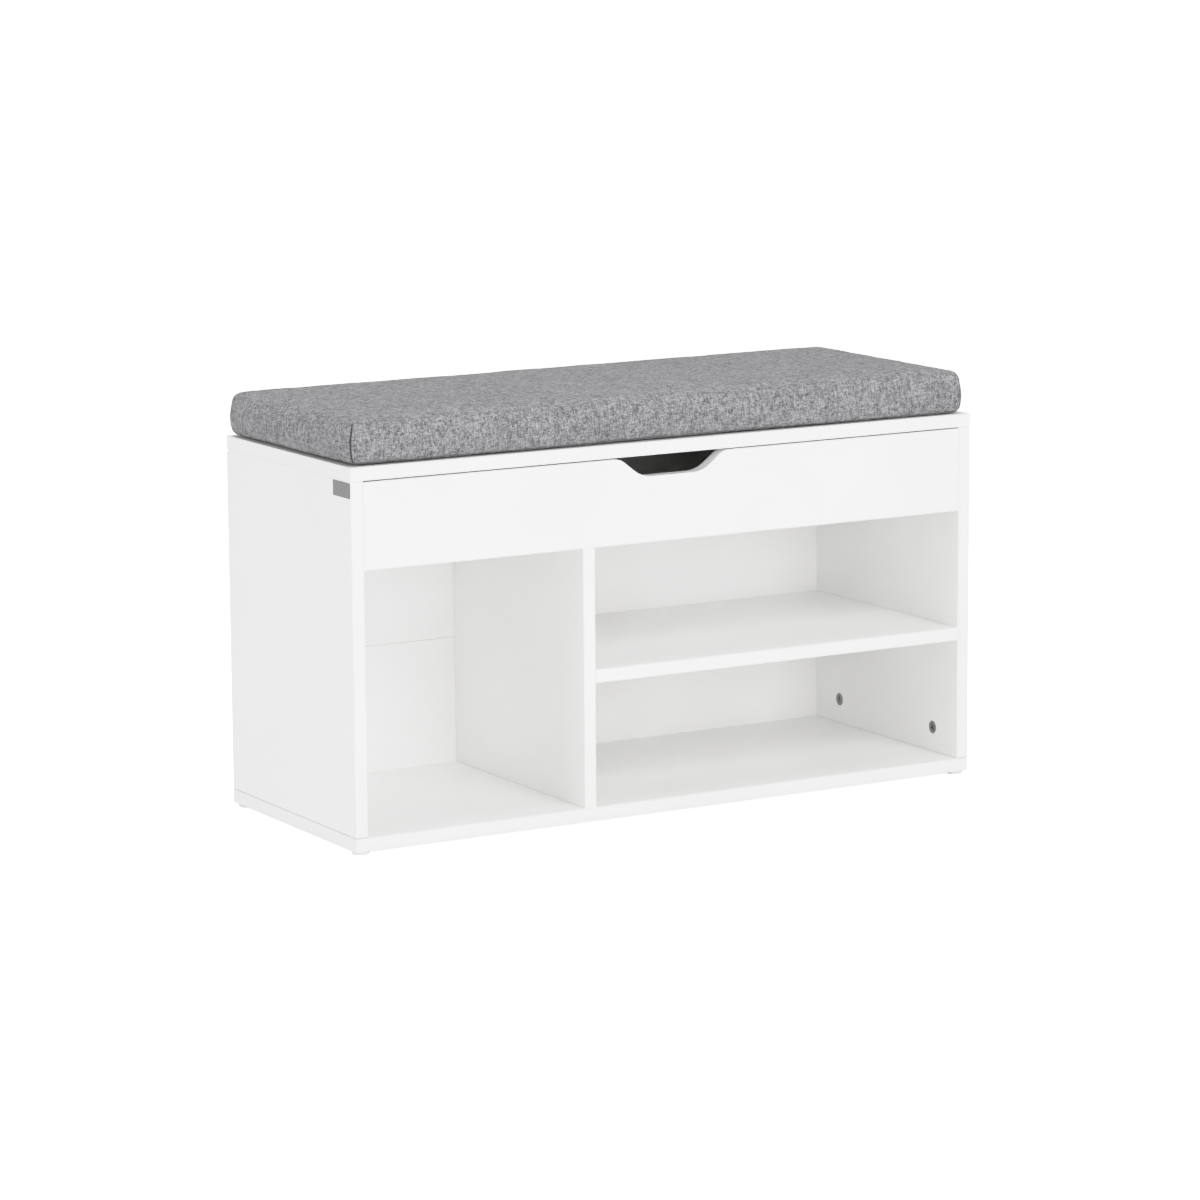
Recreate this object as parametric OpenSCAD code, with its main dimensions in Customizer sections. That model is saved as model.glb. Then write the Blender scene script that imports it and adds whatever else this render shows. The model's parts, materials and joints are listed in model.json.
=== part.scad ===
// Entryway shoe bench: three open bays, a shallow storage compartment over them,
// and a padded lid that lifts on rear hinges and is held open by two folding stays.
// Millimetres. Origin: centre of the footprint, on the floor. +X is right, +Y is the back.

/* [Overall] */
// Width over the side panels
bench_w = 800; // [640:10:1000]
// Depth of the lid, and of the carcass with its back boards
bench_d = 300; // [250:5:380]

/* [Boards] */
// Thickness of the main boards
board_t = 15; // [12:0.5:20]
// Thickness of the two back boards
back_t = 3; // [2.5:0.5:5]
// Chamfer along the edges of the boards
edge_chamfer = 0.4; // [0.2:0.1:1]

/* [Bays and compartment] */
// Clear width of the left bay
left_bay_w = 270; // [200:5:340]
// Clear height of the lower right bay
lower_bay_h = 140; // [110:5:180]
// Clear height of the upper right bay
upper_bay_h = 136.5; // [110:0.5:180]
// Height from the compartment floor to the underside of the lid
compartment_h = 82; // [66:1:140]
// Gap between the front panel and the lid
front_gap = 1.5; // [0.5:0.1:3]

/* [Finger cut-out] */
// Width of the cut-out at the top edge
cutout_w = 148; // [120:2:200]
// Depth of the cut-out
cutout_depth = 22; // [18:1:30]
// Slope of its sides, in degrees
cutout_slope = 38; // [30:1:45]
// Radius of its lower corners
cutout_low_r = 36; // [15:1:40]
// Radius of its upper shoulders
cutout_top_r = 20; // [8:1:24]

/* [Feet] */
// Diameter of a foot pad
foot_d = 19; // [14:0.5:26]
// Height of a foot pad
foot_h = 4; // [3:0.5:10]
// Distance from the outer faces to a pad's centre
foot_inset = 11; // [10:0.5:40]

/* [Cushion] */
// Height of the cushion
cushion_h = 48; // [35:1:70]
// Bare rim of the lid at each end of the cushion
cushion_end_rim = 6; // [2:0.5:15]
// Bare rim of the lid in front of and behind the cushion
cushion_long_rim = 3; // [1:0.5:15]
// Sideways offset of the cushion on the lid
cushion_shift = -3; // [-3:0.5:3]
// Thickness of the cover cloth
cover_t = 1.2; // [0.8:0.1:2]
// Length of the zip in the back of the cover
zip_l = 560; // [300:10:600]

/* [Fastening strips] */
// Length of a hook or loop strip
strip_l = 200; // [120:10:240]
// Width of a strip
strip_w = 40; // [20:1:50]
// Thickness of each half of a strip
strip_t = 0.8; // [0.6:0.1:1.5]

/* [Cam fixings] */
// Diameter of a cam lock
cam_d = 15; // [12:0.5:18]
// Distance from a board's end to the centre of its cam
cam_reach = 29; // [24:1:34]
// Distance from the front and back edges to a fixing
fixing_inset = 50; // [40:1:70]
// Distance between a cam bolt and the dowel next to it
dowel_pitch = 32; // [20:1:40]
// Diameter of a dowel
dowel_d = 8; // [6:0.5:8]
// Length of a dowel
dowel_l = 30; // [24:1:35]

/* [Hinges] */
// Length of a hinge
hinge_l = 50; // [40:1:80]
// Width of a hinge leaf, from the pin's centre
hinge_leaf_w = 22; // [20:0.5:30]
// Thickness of a hinge leaf
hinge_leaf_t = 1; // [0.8:0.1:2]
// Radius of the hinge barrel
barrel_r = 3; // [2.6:0.1:5]
// Radius of the hinge pin
pin_r = 1.5; // [1:0.1:2]
// Distance from a side panel to the middle of a hinge
hinge_inset = 135; // [80:5:200]

/* [Lid stays] */
// Forward distance from the hinge pin to the stay's pivot on the lid
stay_lid_reach = 110; // [90:1:130]
// Forward distance from the hinge pin to the stay's pivot on the side panel
stay_side_reach = 33; // [32:0.5:45]
// Width of a stay arm
stay_arm_w = 11; // [9:0.5:13]
// Thickness of a stay arm
stay_t = 1.5; // [1.2:0.1:2]
// Radius of the stay's pivots
stay_pivot_r = 2.5; // [2:0.1:3]

/* [Side tag] */
// Length of the blank tag
tag_l = 40; // [20:1:60]
// Height of the blank tag
tag_h = 17; // [10:1:25]

/* [Clearances] */
// Radial clearance around a turning pin
running_gap = 0.05; // [0.02:0.01:0.1]
// Radial clearance around a fixed dowel, cam, nail or screw
fixing_gap = 0.05; // [0.02:0.01:0.1]
// Gap between stacked flat parts that slide past each other
slide_gap = 0.2; // [0.1:0.05:0.5]
// Clearance between the turning parts and what they pass
swing_gap = 5; // [3:0.5:8]

/* [Hidden] */
$fn = 64;

// Carcass levels and faces
front_y = -bench_d / 2;
back_y = bench_d / 2;
carcass_back_y = back_y - back_t;
outer_x = bench_w / 2;
inner_x = outer_x - board_t;
base_top = foot_h + board_t;
shelf_z = base_top + lower_bay_h;
floor_z = shelf_z + board_t + upper_bay_h;
compartment_z = floor_z + board_t;
carcass_top = compartment_z + compartment_h;
lid_top = carcass_top + board_t;
divider_left_x = -inner_x + left_bay_w;
divider_right_x = divider_left_x + board_t;
front_panel_top = carcass_top - front_gap;
compartment_front_y = front_y + board_t;
compartment_back_y = carcass_back_y - board_t;
back_seam_z = shelf_z + board_t / 2;

// Hinge pin: behind the back boards and just under the lid
leaf_gap = 0.4;
hinge_drop = leaf_gap / 2 + hinge_leaf_t;
hinge_y = back_y + barrel_r + slide_gap;
hinge_z = carcass_top - hinge_drop;
rail_top = hinge_z - hinge_drop;
hinge_xs = [-inner_x + hinge_inset, inner_x - hinge_inset];
knuckles = 5;
knuckle_l = hinge_l / knuckles;
hinge_screw_pitch = 0.36 * hinge_l;
hinge_screw_y = compartment_back_y + board_t / 2 - hinge_y;

// Screws with a countersunk head, and nails
screw_r = 1.5;
screw_head_r = 2.7;
screw_head_h = 0.95;
screw_l = board_t - 3;
nail_r = 0.8;
nail_head_r = 1.8;
nail_head_h = 0.8;
nail_l = 12;
nails_across = 6;
hole_over = 0.5;
cut_over = 1;

// Cam lock and bolt proportions
cam_r = cam_d / 2;
cam_floor = 4.5;
cam_h = board_t / 2 + cam_floor;
cam_sink = 0.3;
bolt_thread_r = 2.9;
bolt_thread_l = board_t - 4;
bolt_shank_r = 3;
bolt_bore_r = 3.6;
bolt_neck_r = 2;
bolt_head_r = 3.3;
bolt_head_h = 4;
chamber_gap = 0.4;
dowel_in_face = board_t - 5;
dowel_end_gap = 0.5;

// Turns of a fixing: the first word is where it points, the second where its cam opens
UP_RIGHT = [0, 0, 0];
UP_LEFT = [0, 0, 180];
DOWN_RIGHT = [180, 0, 0];
RIGHT_DOWN = [0, 90, 0];
LEFT_DOWN = [0, 90, 180];
RIGHT_BACK = [90, 0, 90];
LEFT_BACK = [-90, 0, 90];
RIGHT_FRONT = [-90, 0, -90];
LEFT_FRONT = [90, 0, -90];
BACK_DOWN = [-90, 0, 0];

// Joints that run from front to back: [x, z, turn]
side_x = outer_x - board_t / 2;
divider_x = divider_left_x + board_t / 2;
base_left = [-side_x, base_top, UP_RIGHT];
base_right = [side_x, base_top, UP_LEFT];
base_divider = [divider_x, base_top, UP_RIGHT];
floor_divider = [divider_x, floor_z, DOWN_RIGHT];
floor_left = [-inner_x, floor_z + board_t / 2, RIGHT_DOWN];
floor_right = [inner_x, floor_z + board_t / 2, LEFT_DOWN];
shelf_left = [divider_right_x, shelf_z + board_t / 2, RIGHT_DOWN];
shelf_right = [inner_x, shelf_z + board_t / 2, LEFT_DOWN];
long_joints = [
    base_left, base_right, base_divider, floor_divider,
    floor_left, floor_right, shelf_left, shelf_right,
];
cam_ys = [front_y + fixing_inset, carcass_back_y - fixing_inset];
dowel_ys = [cam_ys[0] + dowel_pitch, cam_ys[1] - dowel_pitch];

// Joints at the ends of the two compartment walls: [x, y, foot of the wall, turn]
front_wall_y = front_y + board_t / 2;
rear_wall_y = compartment_back_y + board_t / 2;
front_left = [-inner_x, front_wall_y, floor_z, RIGHT_BACK];
front_right = [inner_x, front_wall_y, floor_z, LEFT_BACK];
rail_left = [-inner_x, rear_wall_y, compartment_z, RIGHT_FRONT];
rail_right = [inner_x, rear_wall_y, compartment_z, LEFT_FRONT];
end_joints = [front_left, front_right, rail_left, rail_right];
end_cam_rise = 38;
end_dowel_rise = 22;

// Dowels between the compartment floor and the two walls
wall_dowel_xs = [-2 * inner_x / 3, 0, 2 * inner_x / 3];

function long_cams(j) = [for (y = cam_ys) [[j[0], y, j[1]], j[2]]];
function long_dowels(j) = [for (y = dowel_ys) [[j[0], y, j[1]], j[2]]];
function end_cam(j) = [[j[0], j[1], j[2] + end_cam_rise], j[3]];
function end_dowel(j) = [[j[0], j[1], j[2] + end_dowel_rise], j[3]];
front_dowels = [
    for (x = wall_dowel_xs) [[x, compartment_front_y, floor_z + board_t / 2], BACK_DOWN]
];
rail_dowels = [for (x = wall_dowel_xs) [[x, rear_wall_y, compartment_z], UP_RIGHT]];

// Nails through the back boards: [x, z]
nail_xs = [for (i = [0 : nails_across - 1]) inner_x * (2 * i + 1 - nails_across) / nails_across];
shelf_nail_xs = [for (x = nail_xs) if (x > divider_right_x + board_t) x];
seam_nail_drop = 4;
low_wall_z = base_top + lower_bay_h / 2;
high_wall_z = back_seam_z + upper_bay_h / 2;
top_wall_z = compartment_z + (end_dowel_rise + end_cam_rise) / 2;
rail_nail_drop = screw_l + 9;
lower_nails = concat(
    [for (x = nail_xs) [x, foot_h + board_t / 2]],
    [for (x = shelf_nail_xs) [x, back_seam_z - seam_nail_drop]],
    [for (x = [-side_x, divider_x, side_x]) [x, low_wall_z]]
);
upper_nails = concat(
    [for (x = shelf_nail_xs) [x, back_seam_z + seam_nail_drop]],
    [for (x = nail_xs) [x, floor_z + board_t / 2]],
    [for (x = nail_xs) [x, rail_top - rail_nail_drop]],
    [for (x = [-side_x, divider_x, side_x]) [x, high_wall_z]],
    [for (x = [-side_x, side_x]) [x, top_wall_z]]
);
back_seam_gap = 0.6;
back_top_drop = 1;

// Feet: pad centres
foot_x = outer_x - foot_inset;
foot_y = -front_y - foot_inset;
foot_places = [for (x = [-foot_x, foot_x], y = [-foot_y, foot_y]) [x, y]];
foot_nail_r = 1;
foot_nail_head_r = 3;
foot_nail_head_h = 0.8;
foot_recess_h = 1.6;
foot_recess_r = 3.6;
foot_nail_l = board_t - 4;

// Stay pivots in the plane of a side panel, as [y, z]
lid_end_r = stay_arm_w / 2;
side_end_r = 7;
stop_r = 1.5;
stop_reach = lid_end_r + stop_r + 1;
mid_end_r = stop_reach + stop_r + 0.5;
stay_lid_drop = 8;
stay_side_drop = hinge_z - compartment_z - swing_gap - mid_end_r - stay_lid_drop;
hinge_at = [hinge_y, hinge_z];
lid_pivot = hinge_at - [stay_lid_reach, stay_lid_drop];
side_pivot = hinge_at - [stay_side_reach, stay_side_drop];
mid_pivot = lid_pivot + side_pivot - hinge_at;

// Lug on the lower arm that meets the upper arm's edge when the lid is fully open
lid_open = 90;
stop_slack = 1;
upper_arm_lie = atan2(lid_pivot[1] - mid_pivot[1], lid_pivot[0] - mid_pivot[0]);
stop_lie = upper_arm_lie + lid_open + stop_slack + asin((lid_end_r + stop_r) / stop_reach);
stop_at = mid_pivot + stop_reach * [cos(stop_lie), sin(stop_lie)];

// Stack of a stay, as distances inward from the side panel
stay_flange_t = 1;
lower_arm_off = stay_flange_t + slide_gap / 2;
upper_arm_off = lower_arm_off + stay_t + slide_gap;
bracket_off = upper_arm_off + stay_t + slide_gap;
rivet_head_t = 0.7;
rivet_head_r = 4;
bracket_w = 24;
bracket_flange = 20;
bracket_end_r = 7;
bracket_screw_pitch = 12;
bracket_screw_in = 0.6 * bracket_flange;
pan_head_r = 3;
pan_head_h = 1.6;
pivot_head_r = side_end_r - 2;
pivot_thread_r = stay_pivot_r - 0.5;

// Cushion
cushion_z = lid_top + 2 * strip_t;
cushion_low = [-outer_x + cushion_end_rim + cushion_shift, front_y + cushion_long_rim, cushion_z];
cushion_high = [
    outer_x - cushion_end_rim + cushion_shift,
    back_y - cushion_long_rim,
    cushion_z + cushion_h
];
cushion_edge = 5;
foam_gap = 0.3;
strip_inset = 12;
strip_x = outer_x / 2;
strip_y = back_y - cushion_long_rim - strip_inset - strip_w / 2;
zip_w = 11;
zip_t = 0.6;
zip_z = cushion_z + cushion_h / 2;
zip_x = (cushion_low.x + cushion_high.x) / 2;
zip_slack = 0.5;
slider_size = [14, 1.6, 7];
slider_from_end = 6;
tag_t = 0.3;
tag_drop = 1.5;

// ---------- shared shapes ----------

module cut_rect(w, h, c) {
    polygon([[c, 0], [w - c, 0], [w, c], [w, h - c], [w - c, h], [c, h], [0, h - c], [0, c]]);
}

// Box between two opposite corners, with every edge chamfered
module block(from, to, c = edge_chamfer) {
    s = to - from;
    translate(from)
        intersection() {
            linear_extrude(s.z) cut_rect(s.x, s.y, c);
            translate([0, s.y, 0]) rotate([90, 0, 0]) linear_extrude(s.y) cut_rect(s.x, s.z, c);
            rotate([90, 0, 90]) linear_extrude(s.x) cut_rect(s.y, s.z, c);
        }
}

// Cylinder whose axis runs along +X
module bar_x(x, l, r) {
    translate([x, 0, 0]) rotate([0, 90, 0]) cylinder(h = l, r = r);
}

module place(fixing) {
    translate(fixing[0]) rotate(fixing[1]) children();
}

// Crossed slots of a driver recess, cut down from z = 0
module cross_recess(span) {
    slot = span / 5;
    for (a = [0, 90])
        rotate([0, 0, a])
            translate([-span / 2, -slot / 2, -slot])
                cube([span, slot, 2 * slot]);
}

module pair_of_sides() {
    children();
    mirror([1, 0, 0]) children();
}

// ---------- fixings ----------

// Holes of one cam fixing, in both of the boards that it joins
module cam_holes() {
    cylinder(h = cam_reach, r = bolt_bore_r);
    translate([0, 0, -bolt_thread_l - dowel_end_gap])
        cylinder(h = bolt_thread_l + dowel_end_gap, r = bolt_thread_r + fixing_gap);
    translate([board_t / 2 - cam_h - fixing_gap, 0, cam_reach])
        rotate([0, 90, 0])
            cylinder(h = cam_h + cut_over, r = cam_r + fixing_gap);
}

module cam_lock() {
    difference() {
        translate([board_t / 2 - cam_h, 0, cam_reach])
            rotate([0, 90, 0])
                cylinder(h = cam_h - cam_sink, r = cam_r);
        translate([0, 0, cam_reach - cam_r - 1])
            cylinder(h = cam_r + 1, r = bolt_neck_r + chamber_gap);
        translate([0, 0, cam_reach - bolt_head_h / 2 - chamber_gap])
            cylinder(h = bolt_head_h + 2 * chamber_gap, r = bolt_head_r + chamber_gap);
        translate([board_t / 2 - cam_sink, 0, cam_reach])
            rotate([0, 90, 0])
                rotate([0, 0, 45])
                    cross_recess(1.2 * cam_r);
    }
}

module cam_bolt() {
    translate([0, 0, -bolt_thread_l]) cylinder(h = bolt_thread_l, r = bolt_thread_r);
    cylinder(h = cam_reach - cam_r - chamber_gap, r = bolt_shank_r);
    cylinder(h = cam_reach, r = bolt_neck_r);
    translate([0, 0, cam_reach - bolt_head_h / 2]) cylinder(h = bolt_head_h, r = bolt_head_r);
}

module dowel_hole() {
    translate([0, 0, -dowel_in_face - dowel_end_gap])
        cylinder(h = dowel_l + 2 * dowel_end_gap, r = dowel_d / 2 + fixing_gap);
}

module dowel() {
    tip = 1;
    translate([0, 0, -dowel_in_face]) {
        cylinder(h = tip, r1 = dowel_d / 2 - tip, r2 = dowel_d / 2);
        translate([0, 0, tip]) cylinder(h = dowel_l - 2 * tip, r = dowel_d / 2);
        translate([0, 0, dowel_l - tip]) cylinder(h = tip, r1 = dowel_d / 2, r2 = dowel_d / 2 - tip);
    }
}

module long_joint_holes(j) {
    for (f = long_cams(j)) place(f) cam_holes();
    for (f = long_dowels(j)) place(f) dowel_hole();
}

module end_joint_holes(j) {
    place(end_cam(j)) cam_holes();
    place(end_dowel(j)) dowel_hole();
}

// Nail driven forwards through a back board
module at_nails(list) {
    for (p = list)
        translate([p[0], back_y, p[1]])
            rotate([90, 0, 0])
                children();
}

module nail_holes(list) {
    at_nails(list) {
        translate([0, 0, -cut_over]) cylinder(h = nail_l + cut_over + hole_over, r = nail_r + fixing_gap);
        translate([0, 0, -cut_over])
            cylinder(h = nail_head_h + fixing_gap + cut_over, r = nail_head_r + fixing_gap);
    }
}

// Countersunk screw driven down from z = 0
module countersunk_screw() {
    difference() {
        union() {
            translate([0, 0, -screw_head_h]) cylinder(h = screw_head_h, r1 = screw_r, r2 = screw_head_r);
            translate([0, 0, -screw_l]) cylinder(h = screw_l - screw_head_h, r = screw_r);
        }
        cross_recess(1.3 * screw_head_r);
    }
}

module countersunk_hole() {
    translate([0, 0, -screw_l - hole_over]) cylinder(h = screw_l + hole_over, r = screw_r + fixing_gap);
    translate([0, 0, -screw_head_h - fixing_gap])
        cylinder(
            h = screw_head_h + fixing_gap,
            r1 = screw_r + fixing_gap,
            r2 = screw_head_r + 2 * fixing_gap
        );
}

// ---------- carcass ----------

module bottom_panel() {
    color("white")
        difference() {
            block([-outer_x, front_y, foot_h], [outer_x, carcass_back_y, base_top]);
            long_joint_holes(base_left);
            long_joint_holes(base_right);
            long_joint_holes(base_divider);
            nail_holes(lower_nails);
            for (p = foot_places)
                translate([p[0], p[1], foot_h])
                    cylinder(h = foot_nail_l, r = foot_nail_r + fixing_gap);
        }
}

module left_side_panel() {
    color("white")
        difference() {
            block([-outer_x, front_y, base_top], [-inner_x, carcass_back_y, carcass_top]);
            long_joint_holes(base_left);
            long_joint_holes(floor_left);
            end_joint_holes(front_left);
            end_joint_holes(rail_left);
            nail_holes(concat(lower_nails, upper_nails));
            mirror([1, 0, 0]) stay_screw_hole();
        }
}

module right_side_panel() {
    color("white")
        difference() {
            block([inner_x, front_y, base_top], [outer_x, carcass_back_y, carcass_top]);
            long_joint_holes(base_right);
            long_joint_holes(floor_right);
            long_joint_holes(shelf_right);
            end_joint_holes(front_right);
            end_joint_holes(rail_right);
            nail_holes(concat(lower_nails, upper_nails));
            stay_screw_hole();
        }
}

module divider_panel() {
    color("white")
        difference() {
            block([divider_left_x, front_y, base_top], [divider_right_x, carcass_back_y, floor_z]);
            long_joint_holes(base_divider);
            long_joint_holes(floor_divider);
            long_joint_holes(shelf_left);
            nail_holes(concat(lower_nails, upper_nails));
        }
}

module shelf_panel() {
    color("white")
        difference() {
            block([divider_right_x, front_y, shelf_z], [inner_x, carcass_back_y, shelf_z + board_t]);
            long_joint_holes(shelf_left);
            long_joint_holes(shelf_right);
            nail_holes(concat(lower_nails, upper_nails));
        }
}

module compartment_floor() {
    color("white")
        difference() {
            block([-inner_x, compartment_front_y, floor_z], [inner_x, carcass_back_y, compartment_z]);
            long_joint_holes(floor_left);
            long_joint_holes(floor_right);
            long_joint_holes(floor_divider);
            for (f = concat(front_dowels, rail_dowels)) place(f) dowel_hole();
            nail_holes(upper_nails);
        }
}

// Outline of the finger cut-out below the line z = 0: straight slopes between round
// lower corners and round shoulders
module cutout_outline() {
    top_x = cutout_w / 2;
    rise = cutout_depth - (cutout_low_r + cutout_top_r) * (1 - cos(cutout_slope));
    run = rise / tan(cutout_slope);
    shoulder = [
        top_x - cutout_top_r * sin(cutout_slope),
        -cutout_top_r * (1 - cos(cutout_slope))
    ];
    heel = shoulder - [run, rise];
    low_x = heel.x - cutout_low_r * sin(cutout_slope);
    headroom = 5;
    difference() {
        union() {
            polygon([
                [-top_x, 0], [-shoulder.x, shoulder.y], [-heel.x, heel.y], [-low_x, -cutout_depth],
                [low_x, -cutout_depth], heel, shoulder, [top_x, 0], [top_x, headroom], [-top_x, headroom]
            ]);
            for (s = [-1, 1]) translate([s * low_x, cutout_low_r - cutout_depth]) circle(r = cutout_low_r);
        }
        for (s = [-1, 1]) translate([s * top_x, -cutout_top_r]) circle(r = cutout_top_r);
    }
}

module front_panel() {
    color("white")
        difference() {
            block([-inner_x, front_y, floor_z], [inner_x, compartment_front_y, front_panel_top]);
            translate([0, compartment_front_y + cut_over, front_panel_top])
                rotate([90, 0, 0])
                    linear_extrude(board_t + 2 * cut_over)
                        cutout_outline();
            end_joint_holes(front_left);
            end_joint_holes(front_right);
            for (f = front_dowels) place(f) dowel_hole();
        }
}

module rear_rail() {
    color("white")
        difference() {
            block([-inner_x, compartment_back_y, compartment_z], [inner_x, carcass_back_y, rail_top]);
            end_joint_holes(rail_left);
            end_joint_holes(rail_right);
            for (f = rail_dowels) place(f) dowel_hole();
            nail_holes(upper_nails);
            at_rail_screws() countersunk_hole();
        }
}

module lower_back_board() {
    color("white")
        difference() {
            block(
                [-outer_x, carcass_back_y, foot_h],
                [outer_x, back_y, back_seam_z - back_seam_gap / 2],
                edge_chamfer / 2
            );
            nail_holes(lower_nails);
        }
}

module upper_back_board() {
    color("white")
        difference() {
            block(
                [-outer_x, carcass_back_y, back_seam_z + back_seam_gap / 2],
                [outer_x, back_y, rail_top - back_top_drop],
                edge_chamfer / 2
            );
            nail_holes(upper_nails);
        }
}

module back_board_nails() {
    color("silver")
        at_nails(concat(lower_nails, upper_nails)) {
            cylinder(h = nail_l, r = nail_r);
            cylinder(h = nail_head_h, r = nail_head_r);
        }
}

module foot_pads() {
    lip = 0.8;
    color("white")
        for (p = foot_places)
            translate([p[0], p[1], 0])
                difference() {
                    union() {
                        cylinder(h = lip, r1 = foot_d / 2 - lip, r2 = foot_d / 2);
                        translate([0, 0, lip]) cylinder(h = foot_h - lip, r = foot_d / 2);
                    }
                    translate([0, 0, -cut_over]) cylinder(h = foot_recess_h + cut_over, r = foot_recess_r);
                    cylinder(h = foot_h + cut_over, r = foot_nail_r + fixing_gap);
                }
}

module foot_nails() {
    color("silver")
        for (p = foot_places)
            translate([p[0], p[1], foot_recess_h - foot_nail_head_h]) {
                cylinder(h = foot_nail_head_h, r = foot_nail_head_r);
                cylinder(h = foot_h + foot_nail_l - foot_recess_h, r = foot_nail_r);
            }
}

module cam_locks() {
    color("dimgray") {
        for (j = long_joints, f = long_cams(j)) place(f) cam_lock();
        for (j = end_joints) place(end_cam(j)) cam_lock();
    }
}

module cam_bolts() {
    color("silver") {
        for (j = long_joints, f = long_cams(j)) place(f) cam_bolt();
        for (j = end_joints) place(end_cam(j)) cam_bolt();
    }
}

module dowels() {
    color("burlywood") {
        for (j = long_joints, f = long_dowels(j)) place(f) dowel();
        for (j = end_joints) place(end_dowel(j)) dowel();
        for (f = concat(front_dowels, rail_dowels)) place(f) dowel();
    }
}

module side_tag() {
    color("gray")
        translate([-outer_x - tag_t, front_y + edge_chamfer, carcass_top - tag_drop - tag_h])
            cube([tag_t, tag_l, tag_h]);
}

// ---------- hinges ----------

module at_hinges() {
    for (x = hinge_xs) translate([x, hinge_y, hinge_z]) children();
}

// Knuckles of one leaf, numbered from the left, grown by a gap
module knuckle_set(first, grow) {
    for (i = [first : 2 : knuckles - 1])
        bar_x(
            -hinge_l / 2 + i * knuckle_l + slide_gap / 2 - grow,
            knuckle_l - slide_gap + 2 * grow,
            barrel_r + grow
        );
}

// Leaf that lies under the pin's centre line: first is its own first knuckle
module hinge_leaf(first) {
    difference() {
        union() {
            difference() {
                translate([-hinge_l / 2 + slide_gap / 2, -hinge_leaf_w, -hinge_drop])
                    cube([hinge_l - slide_gap, hinge_leaf_w, hinge_leaf_t]);
                knuckle_set(1 - first, slide_gap);
            }
            knuckle_set(first, 0);
        }
        bar_x(-hinge_l / 2 - cut_over, hinge_l + 2 * cut_over, pin_r + running_gap);
        leaf_screw_places() countersunk_hole();
    }
}

module leaf_screw_places() {
    for (i = [-1, 0, 1])
        translate([i * hinge_screw_pitch, hinge_screw_y, -leaf_gap / 2])
            children();
}

module at_rail_screws() {
    at_hinges() leaf_screw_places() children();
}

module at_lid_screws() {
    at_hinges() mirror([0, 0, 1]) leaf_screw_places() children();
}

module hinge_fixed_leaves() {
    color("silver") at_hinges() hinge_leaf(0);
}

module hinge_lid_leaves() {
    color("silver") at_hinges() mirror([0, 0, 1]) hinge_leaf(1);
}

module hinge_pins() {
    head_t = 0.8;
    head_r = pin_r + 0.6;
    color("silver")
        at_hinges() {
            bar_x(-hinge_l / 2 - head_t, hinge_l + 2 * head_t, pin_r);
            for (x = [-hinge_l / 2 - head_t, hinge_l / 2]) bar_x(x, head_t, head_r);
        }
}

module hinge_rail_screws() {
    color("silver") at_rail_screws() countersunk_screw();
}

module hinge_lid_screws() {
    color("silver") at_lid_screws() countersunk_screw();
}

// ---------- lid stays, drawn for the right-hand side ----------

// Draws at [y, z] in a plane parallel to a side panel, off inward from its inner face
module side_plane(off, t) {
    translate([inner_x - off - t, 0, 0])
        rotate([90, 0, 90])
            linear_extrude(t)
                children();
}

module disc_at(p, off, t, r) {
    translate([inner_x - off - t, p[0], p[1]]) bar_x(0, t, r);
}

// Flat arm from p to q with round ends and a hole at each
module arm_outline(p, q, end_p, end_q, hole_p, hole_q) {
    d = q - p;
    difference() {
        union() {
            translate(p) circle(r = end_p);
            translate(q) circle(r = end_q);
            translate(p)
                rotate(atan2(d[1], d[0]))
                    translate([0, -stay_arm_w / 2])
                        square([norm(d), stay_arm_w]);
        }
        translate(p) circle(r = hole_p);
        translate(q) circle(r = hole_q);
    }
}

module stay_lower_arm() {
    color("gainsboro") {
        side_plane(lower_arm_off, stay_t)
            arm_outline(
                side_pivot, mid_pivot, side_end_r, mid_end_r,
                stay_pivot_r + running_gap, stay_pivot_r + fixing_gap
            );
        disc_at(stop_at, lower_arm_off + stay_t, stay_t, stop_r);
    }
}

module stay_upper_arm() {
    color("gainsboro")
        side_plane(upper_arm_off, stay_t)
            arm_outline(
                mid_pivot, lid_pivot, lid_end_r, lid_end_r,
                stay_pivot_r + running_gap, stay_pivot_r + running_gap
            );
}

// Rivet through a span of flat parts, with a thin head at each end
module rivet(p, off, span) {
    disc_at(p, off - slide_gap / 2 - rivet_head_t, span + slide_gap + 2 * rivet_head_t, stay_pivot_r);
    disc_at(p, off - slide_gap / 2 - rivet_head_t, rivet_head_t, rivet_head_r);
    disc_at(p, off + span + slide_gap / 2, rivet_head_t, rivet_head_r);
}

module stay_rivet() {
    color("silver") rivet(mid_pivot, lower_arm_off, upper_arm_off + stay_t - lower_arm_off);
}

module stay_screw_hole() {
    disc_at(side_pivot, -screw_l - hole_over, screw_l + hole_over, pivot_thread_r + fixing_gap);
}

module stay_pivot_screw() {
    head_off = lower_arm_off + stay_t + slide_gap / 2;
    difference() {
        union() {
            disc_at(side_pivot, -screw_l, screw_l + stay_flange_t, pivot_thread_r);
            disc_at(side_pivot, 0, stay_flange_t, side_end_r - 1);
            disc_at(side_pivot, 0, head_off + pan_head_h, stay_pivot_r);
            disc_at(side_pivot, head_off, pan_head_h, pivot_head_r);
        }
        translate([inner_x - head_off - pan_head_h, side_pivot[0], side_pivot[1]])
            rotate([0, -90, 0])
                cross_recess(1.2 * pivot_head_r);
    }
}

module stay_pivot_screws() {
    color("silver") pair_of_sides() stay_pivot_screw();
}

module at_bracket_screws() {
    for (s = [-1, 1])
        translate([
            inner_x - bracket_off - bracket_screw_in,
            lid_pivot[0] + s * bracket_screw_pitch / 2,
            carcass_top - stay_t
        ])
            children();
}

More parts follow.
